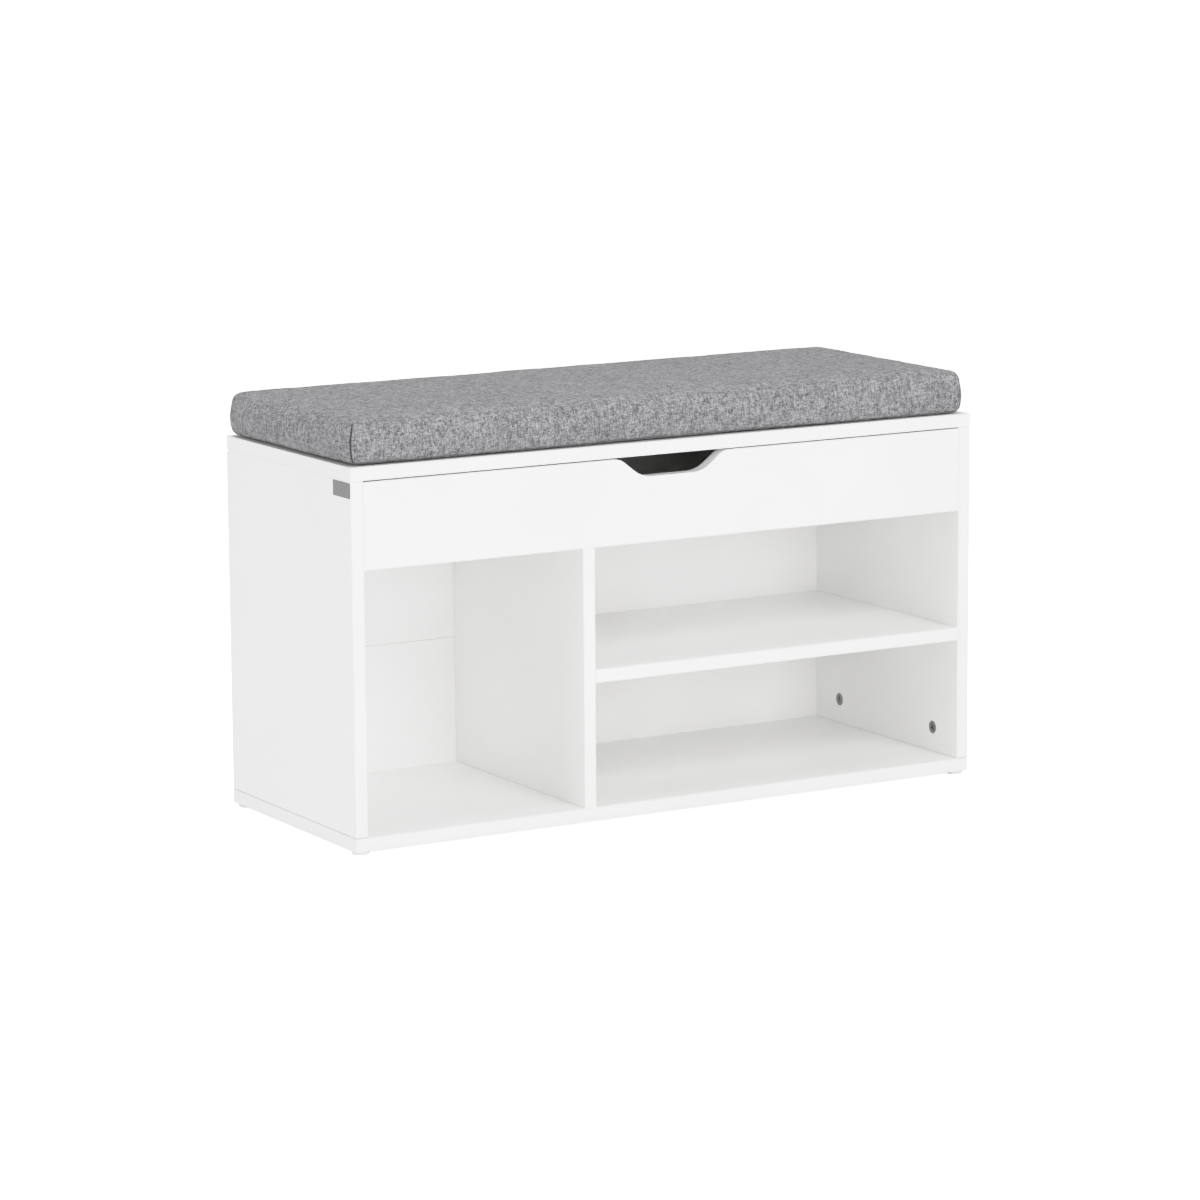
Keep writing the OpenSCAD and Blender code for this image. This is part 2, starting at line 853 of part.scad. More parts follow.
module stay_lid_bracket() {
    difference() {
        union() {
            side_plane(bracket_off, stay_t) {
                translate([lid_pivot[0] - bracket_end_r, lid_pivot[1]])
                    square([2 * bracket_end_r, carcass_top - lid_pivot[1]]);
                translate(lid_pivot) circle(r = bracket_end_r);
            }
            translate([
                inner_x - bracket_off - bracket_flange,
                lid_pivot[0] - bracket_w / 2,
                carcass_top - stay_t
            ])
                cube([bracket_flange, bracket_w, stay_t]);
        }
        disc_at(lid_pivot, bracket_off - cut_over, stay_t + 2 * cut_over, stay_pivot_r + fixing_gap);
        at_bracket_screws()
            translate([0, 0, -cut_over])
                cylinder(h = stay_t + 2 * cut_over, r = screw_r + fixing_gap);
    }
}

module stay_lid_brackets() {
    color("silver") pair_of_sides() stay_lid_bracket();
}

module stay_bracket_screws() {
    color("silver")
        pair_of_sides()
            at_bracket_screws()
                difference() {
                    union() {
                        translate([0, 0, -pan_head_h]) cylinder(h = pan_head_h, r = pan_head_r);
                        cylinder(h = screw_l, r = screw_r);
                    }
                    translate([0, 0, -pan_head_h]) cross_recess(1.2 * pan_head_r);
                }
}

module stay_bracket_rivets() {
    color("silver")
        pair_of_sides()
            rivet(lid_pivot, upper_arm_off, bracket_off + stay_t - upper_arm_off);
}

// ---------- lid and cushion ----------

module lid_panel() {
    color("white")
        difference() {
            block([-outer_x, front_y, carcass_top], [outer_x, back_y, lid_top]);
            at_lid_screws() countersunk_hole();
            pair_of_sides()
                at_bracket_screws()
                    cylinder(h = screw_l + hole_over, r = screw_r + fixing_gap);
        }
}

module strips(z) {
    for (x = [-strip_x, strip_x], y = [-strip_y, strip_y])
        translate([x + cushion_shift - strip_l / 2, y - strip_w / 2, z])
            cube([strip_l, strip_w, strip_t]);
}

module hook_strips() {
    color("dimgray") strips(lid_top);
}

module loop_strips() {
    color("gray") strips(lid_top + strip_t);
}

module cushion_foam() {
    skin = (cover_t + foam_gap) * [1, 1, 1];
    color("ivory") block(cushion_low + skin, cushion_high - skin, cushion_edge);
}

module cushion_cover() {
    skin = cover_t * [1, 1, 1];
    color("darkgray")
        difference() {
            block(cushion_low, cushion_high, cushion_edge);
            block(cushion_low + skin, cushion_high - skin, cushion_edge);
            translate([
                zip_x - zip_l / 2 - zip_slack,
                cushion_high.y - zip_t,
                zip_z - zip_w / 2 - zip_slack
            ])
                cube([zip_l + 2 * zip_slack, zip_t + cut_over, zip_w + 2 * zip_slack]);
        }
}

module cushion_zip() {
    color("gray")
        translate([zip_x - zip_l / 2, cushion_high.y - zip_t, zip_z - zip_w / 2])
            cube([zip_l, zip_t, zip_w]);
}

module zip_slider() {
    color("silver")
        translate([
            zip_x + zip_l / 2 - slider_size.x - slider_from_end,
            cushion_high.y,
            zip_z - slider_size.z / 2
        ])
            cube(slider_size);
}

bottom_panel();
left_side_panel();
right_side_panel();
divider_panel();
shelf_panel();
compartment_floor();
front_panel();
rear_rail();
lower_back_board();
upper_back_board();
back_board_nails();
foot_pads();
foot_nails();
cam_locks();
cam_bolts();
dowels();
side_tag();
hinge_fixed_leaves();
hinge_pins();
hinge_rail_screws();
stay_pivot_screws();
lid_panel();
hinge_lid_leaves();
hinge_lid_screws();
stay_lid_brackets();
stay_bracket_screws();
stay_bracket_rivets();
hook_strips();
loop_strips();
cushion_foam();
cushion_cover();
cushion_zip();
zip_slider();
mirror([1, 0, 0]) stay_lower_arm();  // left_stay_lower_arm
mirror([1, 0, 0]) stay_upper_arm();  // left_stay_upper_arm
mirror([1, 0, 0]) stay_rivet();  // left_stay_rivet
stay_lower_arm();  // right_stay_lower_arm
stay_upper_arm();  // right_stay_upper_arm
stay_rivet();  // right_stay_rivet
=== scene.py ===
"""Looks of an entryway shoe bench: three open bays, a storage compartment and a padded lid.

Laid out as an add-on: each operator makes or finishes one group of pieces round the CAD frame.
Lengths are metres, +X is right, +Y is the back, +Z is up, and z = 0 is the floor.
"""

import json
import math

import bmesh
import bpy
import numpy as np
from bpy.props import FloatProperty, FloatVectorProperty, IntProperty, PointerProperty
from mathutils import Matrix, Vector, noise
from mathutils.bvhtree import BVHTree


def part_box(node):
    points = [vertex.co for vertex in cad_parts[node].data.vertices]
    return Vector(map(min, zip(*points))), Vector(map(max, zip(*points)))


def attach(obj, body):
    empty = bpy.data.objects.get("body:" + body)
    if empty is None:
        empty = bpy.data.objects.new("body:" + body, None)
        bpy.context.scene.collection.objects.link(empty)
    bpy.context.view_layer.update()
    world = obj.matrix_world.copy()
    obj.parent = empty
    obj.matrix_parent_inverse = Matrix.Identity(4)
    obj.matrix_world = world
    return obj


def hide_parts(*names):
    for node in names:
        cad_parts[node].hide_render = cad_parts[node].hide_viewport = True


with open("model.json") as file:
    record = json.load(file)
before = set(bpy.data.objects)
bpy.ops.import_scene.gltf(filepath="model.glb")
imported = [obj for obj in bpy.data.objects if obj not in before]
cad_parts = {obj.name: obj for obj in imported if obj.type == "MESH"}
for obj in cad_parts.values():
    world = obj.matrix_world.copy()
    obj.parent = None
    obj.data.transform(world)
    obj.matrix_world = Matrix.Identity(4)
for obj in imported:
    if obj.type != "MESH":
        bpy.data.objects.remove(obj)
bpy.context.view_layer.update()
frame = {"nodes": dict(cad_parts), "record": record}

bl_info = {
    "name": "Entryway bench",
    "version": (1, 0, 0),
    "blender": (4, 5, 0),
    "location": "3D View > Sidebar > Bench",
    "description": "Finishes an entryway shoe bench with a padded lid",
    "category": "Object",
}

MM = 0.001
BODY_OF = {n: b for b, ns in frame["record"]["behaviour"]["bodies"].items() for n in ns}


# ---------- node trees ----------


class Tree:
    """Adds nodes to one node tree and links what is given as a socket."""

    def __init__(self, tree):
        self.tree = tree
        tree.nodes.clear()

    def node(self, kind, *inputs, out=0, named=None, **settings):
        made = self.tree.nodes.new(kind)
        for key, value in settings.items():
            setattr(made, key, value)
        for place, value in [*enumerate(inputs), *(named or {}).items()]:
            if value is None:
                continue
            if isinstance(value, bpy.types.NodeSocket):
                self.tree.links.new(value, made.inputs[place])
            else:
                made.inputs[place].default_value = value
        return made.outputs[out] if made.outputs else None

    def math(self, operation, *values):
        return self.node("ShaderNodeMath", *values, operation=operation)

    def vector(self, operation, *values):
        return self.node("ShaderNodeVectorMath", *values, operation=operation)

    def split(self, vector):
        made = self.node("ShaderNodeSeparateXYZ", vector).node
        return made.outputs[0], made.outputs[1], made.outputs[2]

    def join(self, x=0.0, y=0.0, z=0.0):
        return self.node("ShaderNodeCombineXYZ", x, y, z)

    def times(self, first, second):
        return self.math("MULTIPLY", first, second)

    def plus(self, first, second):
        return self.math("ADD", first, second)

    def minus(self, first, second):
        return self.math("SUBTRACT", first, second)

    def ramp(self, value, low, high, to_low=0.0, to_high=1.0):
        """value from low to high becomes to_low to to_high, and stays there outside them."""
        return self.node("ShaderNodeMapRange", value, low, high, to_low, to_high)

    def noise(self, vector, scale, detail=2.0, roughness=0.5):
        named = {"Vector": vector, "Scale": scale, "Detail": detail, "Roughness": roughness}
        return self.node("ShaderNodeTexNoise", named=named)

    def mix(self, share, first, second):
        named = {0: share, 6: first, 7: second}
        return self.node("ShaderNodeMix", named=named, out=2, data_type="RGBA")

    def bump(self, height, distance, strength):
        named = {"Strength": strength, "Distance": distance, "Height": height}
        return self.node("ShaderNodeBump", named=named)

    def random(self, low, high, seed):
        named = {2: low, 3: high, 8: seed}
        return self.node("FunctionNodeRandomValue", named=named, data_type="FLOAT", out=1)

    def face_along(self, direction):
        """Rotation that turns Z to a direction."""
        return self.node("FunctionNodeAlignRotationToVector", named={"Vector": direction}, axis="Z")

    def wire(self, steps, start, bow, end, radius, sides=6, capped=True):
        """Short bent wire: an arc from start to end that bows, with a round section."""
        arc = self.node("GeometryNodeCurveQuadraticBezier", steps, start, bow, end)
        section = self.node("GeometryNodeCurvePrimitiveCircle", sides, named={"Radius": radius})
        return self.node("GeometryNodeCurveToMesh", arc, section, named={"Fill Caps": capped})


def start_material(name, **fixed):
    """A new material's tree with its main shader, and the coordinates that its patterns read."""
    material = bpy.data.materials.new(name)
    material.use_nodes = True
    tree = Tree(material.node_tree)
    tree.material = material
    tree.shader = tree.node("ShaderNodeBsdfPrincipled").node
    tree.node("ShaderNodeOutputMaterial", tree.shader.outputs[0])
    for key, value in fixed.items():
        socket = key.replace("_", " ").title().replace("Ior", "IOR")
        tree.shader.inputs[socket].default_value = value
    return tree, tree.node("ShaderNodeTexCoord", out=3)


def finish_material(tree, colour, rough, normal=None):
    """Links a material's patterns to its main shader."""
    for name, socket in (("Base Color", colour), ("Roughness", rough), ("Normal", normal)):
        if socket is not None:
            tree.tree.links.new(socket, tree.shader.inputs[name])
    return tree.material


def grey(level, warm=0.0):
    return (level * (1 + warm), level, level * (1 - warm), 1.0)


# ---------- materials ----------


def arris_distance(tree, place, node):
    """Distance to the nearest edge of a board, from the frame's box of that board."""
    low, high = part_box(node)
    centred = tree.vector("SUBTRACT", place, tuple((low + high) / 2))
    inside = tree.vector("SUBTRACT", tuple((high - low) / 2), tree.vector("ABSOLUTE", centred))
    x, y, z = tree.split(inside)
    near = tree.math("MINIMUM", x, y)
    far = tree.math("MAXIMUM", x, y)
    return tree.math("MAXIMUM", near, tree.math("MINIMUM", far, z))


def painted_foot_groove_shade(tree, place, node):
    """Painted shade of the fine groove under a side panel's foot, on its outer face and its edges.
    """
    low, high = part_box(node)
    x, _, z = tree.split(place)
    inner = min(abs(low.x), abs(high.x))
    outside = tree.ramp(tree.math("ABSOLUTE", x), inner + 0.0002, inner + 0.0006)
    return tree.times(outside, tree.ramp(z, low.z + 0.0006, low.z + 0.0015, 0.55, 0.0))


def melamine(node, boards):
    """Satin white board face: pebbled foil, an edge band with its fine joint, worn arrises."""
    tree, place = start_material("melamine_" + node, specular_ior_level=0.45)
    arris = arris_distance(tree, place, node)
    cloud = tree.noise(place, 5.0, 3.0)
    smudge = tree.noise(place, 38.0, 4.0, 0.65)
    pebble = tree.noise(place, 1500.0, 2.0, 0.6)
    wave = tree.noise(place, 24.0, 1.0)
    base = (*boards.white, 1.0)
    aged = tuple(c * k for c, k in zip(boards.white, (0.965, 0.962, 0.955))) + (1.0,)
    colour = tree.mix(tree.ramp(cloud, 0.35, 0.7), base, aged)
    off_joint = tree.math("ABSOLUTE", tree.minus(arris, boards.band))
    joint = tree.ramp(off_joint, 0.00004, 0.00018, 0.35, 0.0)
    colour = tree.mix(joint, colour, grey(0.42, 0.03))
    if node in SIDE_PANELS:
        # painted shade: a near-black line along the groove at the foot of the side panel's outer
        # face
        colour = tree.mix(painted_foot_groove_shade(tree, place, node), colour, grey(0.12, 0.02))
    worn = tree.times(tree.ramp(arris, 0.0, 0.0011, 1.0, 0.0), tree.ramp(smudge, 0.4, 0.65))
    colour = tree.mix(tree.times(worn, 0.22), colour, grey(0.6, 0.05))
    rough = tree.ramp(smudge, 0.3, 0.75, boards.roughness - 0.06, boards.roughness + 0.08)
    rough = tree.plus(rough, tree.times(worn, 0.2))
    height = tree.plus(pebble, tree.times(wave, 3.0))
    height = tree.minus(height, tree.times(joint, 1.5))
    return finish_material(tree, colour, rough, tree.bump(height, 0.00006, 0.5))


def lacquered_fibre(node, boards):
    """Thin fibre board: lacquer over pressed fibres, bare brown fibre at the sawn edges."""
    tree, place = start_material("fibre_board_" + node, specular_ior_level=0.4)
    arris = arris_distance(tree, place, node)
    fibres = tree.noise(tree.vector("MULTIPLY", place, (1.0, 1.0, 0.35)), 900.0, 4.0, 0.7)
    cloud = tree.noise(place, 9.0, 3.0)
    base = tuple(c * 0.985 for c in boards.white) + (1.0,)
    colour = tree.mix(tree.ramp(cloud, 0.35, 0.7), base, grey(boards.white[0] * 0.94, 0.006))
    colour = tree.mix(tree.ramp(fibres, 0.62, 0.75, 0.0, 0.10), colour, grey(0.6, 0.04))
    bare = tree.times(tree.ramp(arris, 0.00005, 0.0002, 0.3, 0.0), tree.ramp(fibres, 0.4, 0.6))
    colour = tree.mix(bare, colour, (0.55, 0.45, 0.34, 1.0))
    rough = tree.ramp(cloud, 0.3, 0.7, boards.roughness + 0.04, boards.roughness + 0.16)
    return finish_material(tree, colour, rough, tree.bump(fibres, 0.00005, 0.5))


def moulded_plastic(name, level):
    tree, place = start_material(name, subsurface_weight=0.04)
    spark = tree.noise(place, 2600.0, 2.0, 0.6)
    cloud = tree.noise(place, 160.0, 3.0)
    colour = tree.mix(tree.ramp(cloud, 0.35, 0.7), grey(level), grey(level * 0.94, 0.01))
    rough = tree.ramp(cloud, 0.3, 0.7, 0.34, 0.48)
    return finish_material(tree, colour, rough, tree.bump(spark, 0.00004, 0.6))


def metal(name, level, roughness, stretch, cast=0.0):
    """Plated or cast metal: brushing along the short side of stretch, tarnish and small pits."""
    tree, place = start_material(name, metallic=1.0)
    brushed = tree.noise(tree.vector("MULTIPLY", place, stretch), 700.0, 3.0, 0.6)
    cloud = tree.noise(place, 120.0, 4.0, 0.6)
    pits = tree.noise(place, 1900.0, 2.0, 0.5)
    colour = tree.mix(tree.ramp(cloud, 0.35, 0.7), grey(level), grey(level * 0.87, 0.02))
    pitted = tree.ramp(pits, 0.66, 0.76, 0.0, 0.12 + 0.4 * cast)
    colour = tree.mix(pitted, colour, grey(level * 0.45))
    rough = tree.ramp(brushed, 0.3, 0.7, roughness - 0.08, roughness + 0.12)
    height = tree.plus(tree.times(brushed, 1 - cast), tree.times(pits, cast * 3))
    depth = 0.00002 + 0.00003 * cast
    return finish_material(tree, colour, rough, tree.bump(height, depth, 0.5))


def beech():
    tree, place = start_material("bare_beech", specular_ior_level=0.3)
    grain = tree.noise(tree.vector("MULTIPLY", place, (1.0, 0.12, 1.0)), 1400.0, 4.0, 0.65)
    flecks = tree.noise(tree.vector("MULTIPLY", place, (1.0, 0.3, 1.0)), 600.0, 2.0)
    colour = tree.mix(tree.ramp(grain, 0.35, 0.65), (0.62, 0.43, 0.25, 1), (0.74, 0.56, 0.36, 1))
    colour = tree.mix(tree.ramp(flecks, 0.62, 0.7, 0.0, 0.5), colour, (0.42, 0.26, 0.14, 1))
    rough = tree.ramp(grain, 0.3, 0.7, 0.55, 0.75)
    return finish_material(tree, colour, rough, tree.bump(grain, 0.00008, 0.6))


def linen(cushion):
    """Heathered plain weave: dark and light yarns both ways, slubs, and painted shade along the
    seams.
    """
    tree, _ = start_material(
        "grey_linen", specular_ior_level=0.25, sheen_weight=0.12, sheen_roughness=0.5
    )
    cloth = tree.node("ShaderNodeUVMap", uv_map="weave")
    along, across, _ = tree.split(cloth)
    pitch = cushion.yarn_pitch

    def yarns(run, side, seed):
        """Tone of the yarns that run one way: bundles in streaks, single slubs and fine flecks."""
        tone = None
        for width, length, share in ((2.6, 0.011, 0.9), (1.3, 0.0050, 1.4), (1.3, 0.0014, 1.3)):
            row = tree.math("FLOOR", tree.math("DIVIDE", side, pitch * width))
            along_row = tree.math("DIVIDE", run, length)
            spot = tree.join(along_row, tree.times(row, 0.83), seed + width + length)
            part = tree.times(tree.minus(tree.noise(spot, 1.0, 1.0), 0.5), share)
            tone = part if tone is None else tree.plus(tone, part)
        return tree.ramp(tone, -0.31, 0.37)

    warp = yarns(along, across, 1.0)
    weft = yarns(across, along, 11.0)
    turn = math.pi / pitch
    crossing = tree.times(*(tree.math("SINE", tree.times(run, turn)) for run in (along, across)))
    over = tree.ramp(crossing, -0.3, 0.3, 0.22, 0.86)
    cloud = tree.noise(cloth, 22.0, 3.0)
    tone = tree.plus(tree.times(warp, over), tree.times(weft, tree.minus(1.0, over)))
    tone = tree.plus(tone, tree.ramp(cloud, 0.3, 0.7, -0.03, 0.03))
    colour = tree.mix(tone, (*cushion.dark_yarn, 1.0), (*cushion.light_yarn, 1.0))
    seam = tree.node("ShaderNodeAttribute", attribute_name="seam_gap", out=2)
    shows = tree.node("ShaderNodeAttribute", attribute_name="seam_shows", out=2)
    # painted shade: the cloth darkens toward each seam, as much as that seam shows
    shade = tree.times(tree.ramp(seam, 0.0005, 0.0018, 1.0, 0.0), shows)
    colour = tree.mix(shade, colour, (*(c * 0.35 for c in cushion.dark_yarn), 1.0))
    round_yarn = tree.math("ABSOLUTE", crossing)
    height = tree.plus(round_yarn, tree.times(tone, 0.6))
    rough = tree.ramp(tone, 0.0, 1.0, 0.82, 0.95)
    return finish_material(tree, colour, rough, tree.bump(height, 0.00022, 0.75))


def woven_tape(name, level, rib, contrast):
    """Close narrow weave with ribs across the tape, on object coordinates."""
    tree, place = start_material(name, specular_ior_level=0.3)
    x, y, z = tree.split(place)
    turn = 2 * math.pi / rib
    ribs = tree.math("SINE", tree.times(tree.plus(x, tree.times(z, 0.5)), turn))
    cords = tree.math("SINE", tree.times(tree.plus(y, z), turn))
    height = tree.plus(ribs, cords)
    fuzz = tree.noise(place, 3200.0, 2.0, 0.7)
    tone = tree.plus(tree.ramp(height, -2.0, 2.0), tree.ramp(fuzz, 0.3, 0.7, -0.3, 0.3))
    colour = tree.mix(tone, grey(level * (1 - contrast)), grey(level * (1 + contrast)))
    rough = tree.ramp(fuzz, 0.3, 0.7, 0.75, 0.95)
    return finish_material(tree, colour, rough, tree.bump(tree.plus(height, fuzz), 0.00008, 0.6))


def nylon(name, level, roughness=0.38):
    tree, place = start_material(name, specular_ior_level=0.5)
    cloud = tree.noise(place, 900.0, 3.0)
    colour = tree.mix(tree.ramp(cloud, 0.35, 0.65), grey(level), grey(level * 0.7))
    rough = tree.ramp(cloud, 0.3, 0.7, roughness - 0.06, roughness + 0.12)
    return finish_material(tree, colour, rough, tree.bump(cloud, 0.00003, 0.4))


def pale_floor(stage):
    tree, place = start_material("pale_floor")
    grain = tree.noise(place, 60.0, 3.0)
    level = stage.floor_level
    colour = tree.mix(tree.ramp(grain, 0.4, 0.6), grey(level), grey(level * 0.99))
    tree.shader.inputs["Emission Color"].default_value = (1.0, 1.0, 1.0, 1.0)
    seen = tree.times(tree.node("ShaderNodeLightPath"), stage.floor_glow)
    tree.tree.links.new(seen, tree.shader.inputs["Emission Strength"])
    return finish_material(tree, colour, tree.ramp(grain, 0.3, 0.7, 0.85, 0.95))


# ---------- meshes and pieces ----------


def new_object(name, mesh, material=None):
    made = bpy.data.objects.new(name, mesh)
    bpy.context.scene.collection.objects.link(made)
    if material is not None:
        mesh.materials.append(material)
    return made


def mesh_from(name, bm, smooth=True):
    mesh = bpy.data.meshes.new(name)
    for face in bm.faces:
        face.smooth = smooth
    bm.to_mesh(mesh)
    bm.free()
    return mesh


def plain_mesh(name, points, faces=(), edges=()):
    mesh = bpy.data.meshes.new(name)
    mesh.from_pydata([tuple(p) for p in points], list(edges), list(faces))
    return mesh


def dress(node, material):
    """Gives a CAD node its material and leaves its mesh alone."""
    held = frame["nodes"][node]
    if held.material_slots:
        for slot in held.material_slots:
            slot.material = material
    else:
        held.data.materials.append(material)


def hand_over(piece, slot, *nodes):
    """Lets a finished piece ride on the body of the CAD nodes that it stands for."""
    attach(piece, BODY_OF[nodes[0]])
    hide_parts(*nodes)


def grid_faces(rows, columns):
    """Faces of a grid of points that are numbered row by row."""
    starts = [i * columns + j for i in range(rows - 1) for j in range(columns - 1)]
    return [(a, a + 1, a + columns + 1, a + columns) for a in starts]


def thicken(piece, thickness):
    """Gives a flat piece its thickness, half to each side."""
    shell = piece.modifiers.new("thick", "SOLIDIFY")
    shell.thickness = thickness
    shell.offset = 0
    settle_modifiers(piece)


def add_weave(mesh, corners_uv, gap, shows):
    """Gives cloth its weave's UV map, and each point's gap to a seam and how much that shows."""
    weave = mesh.uv_layers.new(name="weave").data
    weave.foreach_set("uv", np.array(corners_uv, np.float32).ravel())
    for name, value in (("seam_gap", gap), ("seam_shows", shows)):
        values = np.broadcast_to(value, len(mesh.vertices)).astype(np.float32)
        mesh.attributes.new(name, "FLOAT", "POINT").data.foreach_set("value", values)
    mesh.shade_smooth()


def solids(node):
    """The points of each separate solid in a CAD node."""
    bm = bmesh.new()
    bm.from_mesh(frame["nodes"][node].data)
    bmesh.ops.remove_doubles(bm, verts=bm.verts, dist=1e-6)
    left = set(range(len(bm.verts)))
    bm.verts.ensure_lookup_table()
    found = []
    while left:
        queue = [left.pop()]
        points = []
        while queue:
            vertex = bm.verts[queue.pop()]
            points.append(tuple(vertex.co))
            for edge in vertex.link_edges:
                other = edge.other_vert(vertex).index
                if other in left:
                    left.remove(other)
                    queue.append(other)
        found.append(np.array(points))
    bm.free()
    return sorted(found, key=lambda p: tuple(p.mean(0).round(5)))


def lathe(bm, profile, sides):
    """Turns a profile of (radius, height) in millimetres round Z, and leaves its ends open."""
    turns = [2 * math.pi * i / sides for i in range(sides)]
    rings = []
    for radius, height in profile:
        r, z = radius * MM, height * MM
        rings.append([bm.verts.new((r * math.cos(t), r * math.sin(t), z)) for t in turns])
    for first, second in zip(rings, rings[1:]):
        for i in range(sides):
            j = (i + 1) % sides
            bm.faces.new((first[i], second[i], second[j], first[j]))
    return rings


def settle_modifiers(piece):
    """Turns what the modifiers make into the piece's own plain mesh."""
    graph = bpy.context.evaluated_depsgraph_get()
    made = bpy.data.meshes.new_from_object(piece.evaluated_get(graph), depsgraph=graph)
    piece.modifiers.clear()
    piece.data = made
    return piece


def run_tree(piece, tree, **values):
    """Runs a geometry tree on a piece, its inputs set by name, and keeps the result as a mesh."""
    modifier = piece.modifiers.new(tree.name, "NODES")
    modifier.node_group = tree
    for item in tree.interface.items_tree:
        if item.item_type == "SOCKET" and item.in_out == "INPUT" and item.name in values:
            modifier[item.identifier] = values[item.name]
    return settle_modifiers(piece)


def geometry_tree(name, **inputs):
    """A geometry tree with its inputs by name, and the sockets that bring them in."""
    group = bpy.data.node_groups.new(name, "GeometryNodeTree")
    kinds = {float: "Float", int: "Int"}
    sockets = [("Geometry", "Geometry", None)]
    for key, value in inputs.items():
        sockets.append((key.replace("_", " "), kinds.get(type(value), value), value))
    for label, kind, default in (*sockets, ("Material", "Material", None)):
        made = group.interface.new_socket(
            name=label, in_out="INPUT", socket_type="NodeSocket" + kind
        )
        if kind in kinds.values():
            made.default_value = default
    group.interface.new_socket(name="Geometry", in_out="OUTPUT", socket_type="NodeSocketGeometry")
    tree = Tree(group)
    return tree, tree.node("NodeGroupInput").node.outputs


def set_out(tree, given, points, shape, **how):
    """Ends a geometry tree: the shape at every point, as real geometry in one material."""
    placed = tree.node("GeometryNodeInstanceOnPoints", points, named={"Instance": shape, **how})
    real = tree.node("GeometryNodeRealizeInstances", placed)
    dressed = tree.node("GeometryNodeSetMaterial", real, named={"Material": given["Material"]})
    tree.node("NodeGroupOutput", dressed)
    return tree.tree


def pitched_points(tree, given):
    """Outputs of the points one pitch apart along a line mesh: the points, then their tangents."""
    curve = tree.node("GeometryNodeMeshToCurve", given["Geometry"])
    named = {"Length": given["Pitch"]}
    return tree.node("GeometryNodeCurveToPoints", curve, named=named, mode="LENGTH").node.outputs


def fastener_tree():
    """Sets one fastener at every point, turned to face along the point's own direction."""
    tree, given = geometry_tree("Fasteners", Fastener="Object", Turn_spread=3.1, Seed=4)
    facing = tree.node("GeometryNodeInputNamedAttribute", "facing", data_type="FLOAT_VECTOR")
    spin = tree.join(0.0, 0.0, tree.random(0.0, given["Turn spread"], given["Seed"]))
    turned = tree.face_along(facing)
    twist = tree.node("FunctionNodeRotateRotation", turned, spin, rotation_space="LOCAL")
    source = tree.node("GeometryNodeObjectInfo", given["Fastener"], out=4)
    points = tree.node("GeometryNodeMeshToPoints", given["Geometry"])
    return set_out(tree, given, points, source, Rotation=twist)


def stitch_tree():
    """Lays short round threads along the edges of a line mesh, one pitch apart."""
    tree, given = geometry_tree("Stitches", Pitch=0.003, Length=0.0021, Thread=0.0002, Seed=2)
    points = pitched_points(tree, given)
    half = tree.times(given["Length"], 0.5)
    start = tree.join(0.0, 0.0, tree.times(half, -1.0))
    bow = tree.join(given["Thread"], 0.0, 0.0)
    thread = tree.wire(4, start, bow, tree.join(0.0, 0.0, half), given["Thread"])
    size = tree.join(1.0, 1.0, tree.random(0.85, 1.1, given["Seed"]))
    return set_out(tree, given, points[0], thread, Rotation=tree.face_along(points[1]), Scale=size)


def zip_tree():
    """Lays pairs of interlocking coil teeth along a line mesh."""
    tree, given = geometry_tree("Zip teeth", Pitch=0.0014, Reach=0.0021, Wire=0.00034)
    points = pitched_points(tree, given)
    odd = tree.math("MODULO", tree.node("GeometryNodeInputIndex"), 2.0)
    side = tree.minus(tree.times(odd, 2.0), 1.0)
    root = tree.join(0.0, 0.0, tree.times(given["Reach"], -0.35))
    hump = tree.join(0.0, tree.times(given["Wire"], 3.2), 0.0)
    tooth = tree.wire(5, root, hump, tree.join(0.0, 0.0, given["Reach"]), given["Wire"])
    return set_out(tree, given, points[0], tooth, Scale=tree.join(1.0, 1.0, side))


def pile_tree():
    """Covers a flat tape with a staggered field of small hooks or loops that stand on it."""
    tree, given = geometry_tree(
        "Tape pile", Height=0.0005, Span=0.0006, Wire=0.00009, Up=1.0, Seed=5
    )
    tall = tree.times(given["Height"], given["Up"])
    half = tree.times(given["Span"], 0.5)
    start = tree.join(tree.times(half, -1.0), 0.0, 0.0)
    crest = tree.join(0.0, 0.0, tree.times(tall, 2.0))
    end = tree.join(half, 0.0, 0.0)
    strand = tree.wire(4, start, crest, end, given["Wire"], sides=3, capped=False)
    spin = tree.random(-0.5, 0.5, given["Seed"])
    turned = tree.node("FunctionNodeEulerToRotation", tree.join(0.0, 0.0, spin))
    points = tree.node("GeometryNodeMeshToPoints", given["Geometry"])
    return set_out(tree, given, points, strand, Rotation=turned)


def soft_box(bm, low, high, bevel, segments=2):
    """Adds a box with rounded edges to a bmesh."""
    centre = (Vector(low) + Vector(high)) / 2
    size = Vector(high) - Vector(low)
    form = Matrix.Translation(centre) @ Matrix.Diagonal((*size, 1))
    grown = bmesh.ops.create_cube(bm, size=1.0, matrix=form)
    edges = {e for v in grown["verts"] for e in v.link_edges}
    bmesh.ops.bevel(
        bm, geom=list(edges), offset=bevel, segments=segments, affect="EDGES", profile=0.5
    )


# ---------- cushion ----------


PANEL_SHIFT = 0.37  # each panel of the cover is cut from another part of the cloth


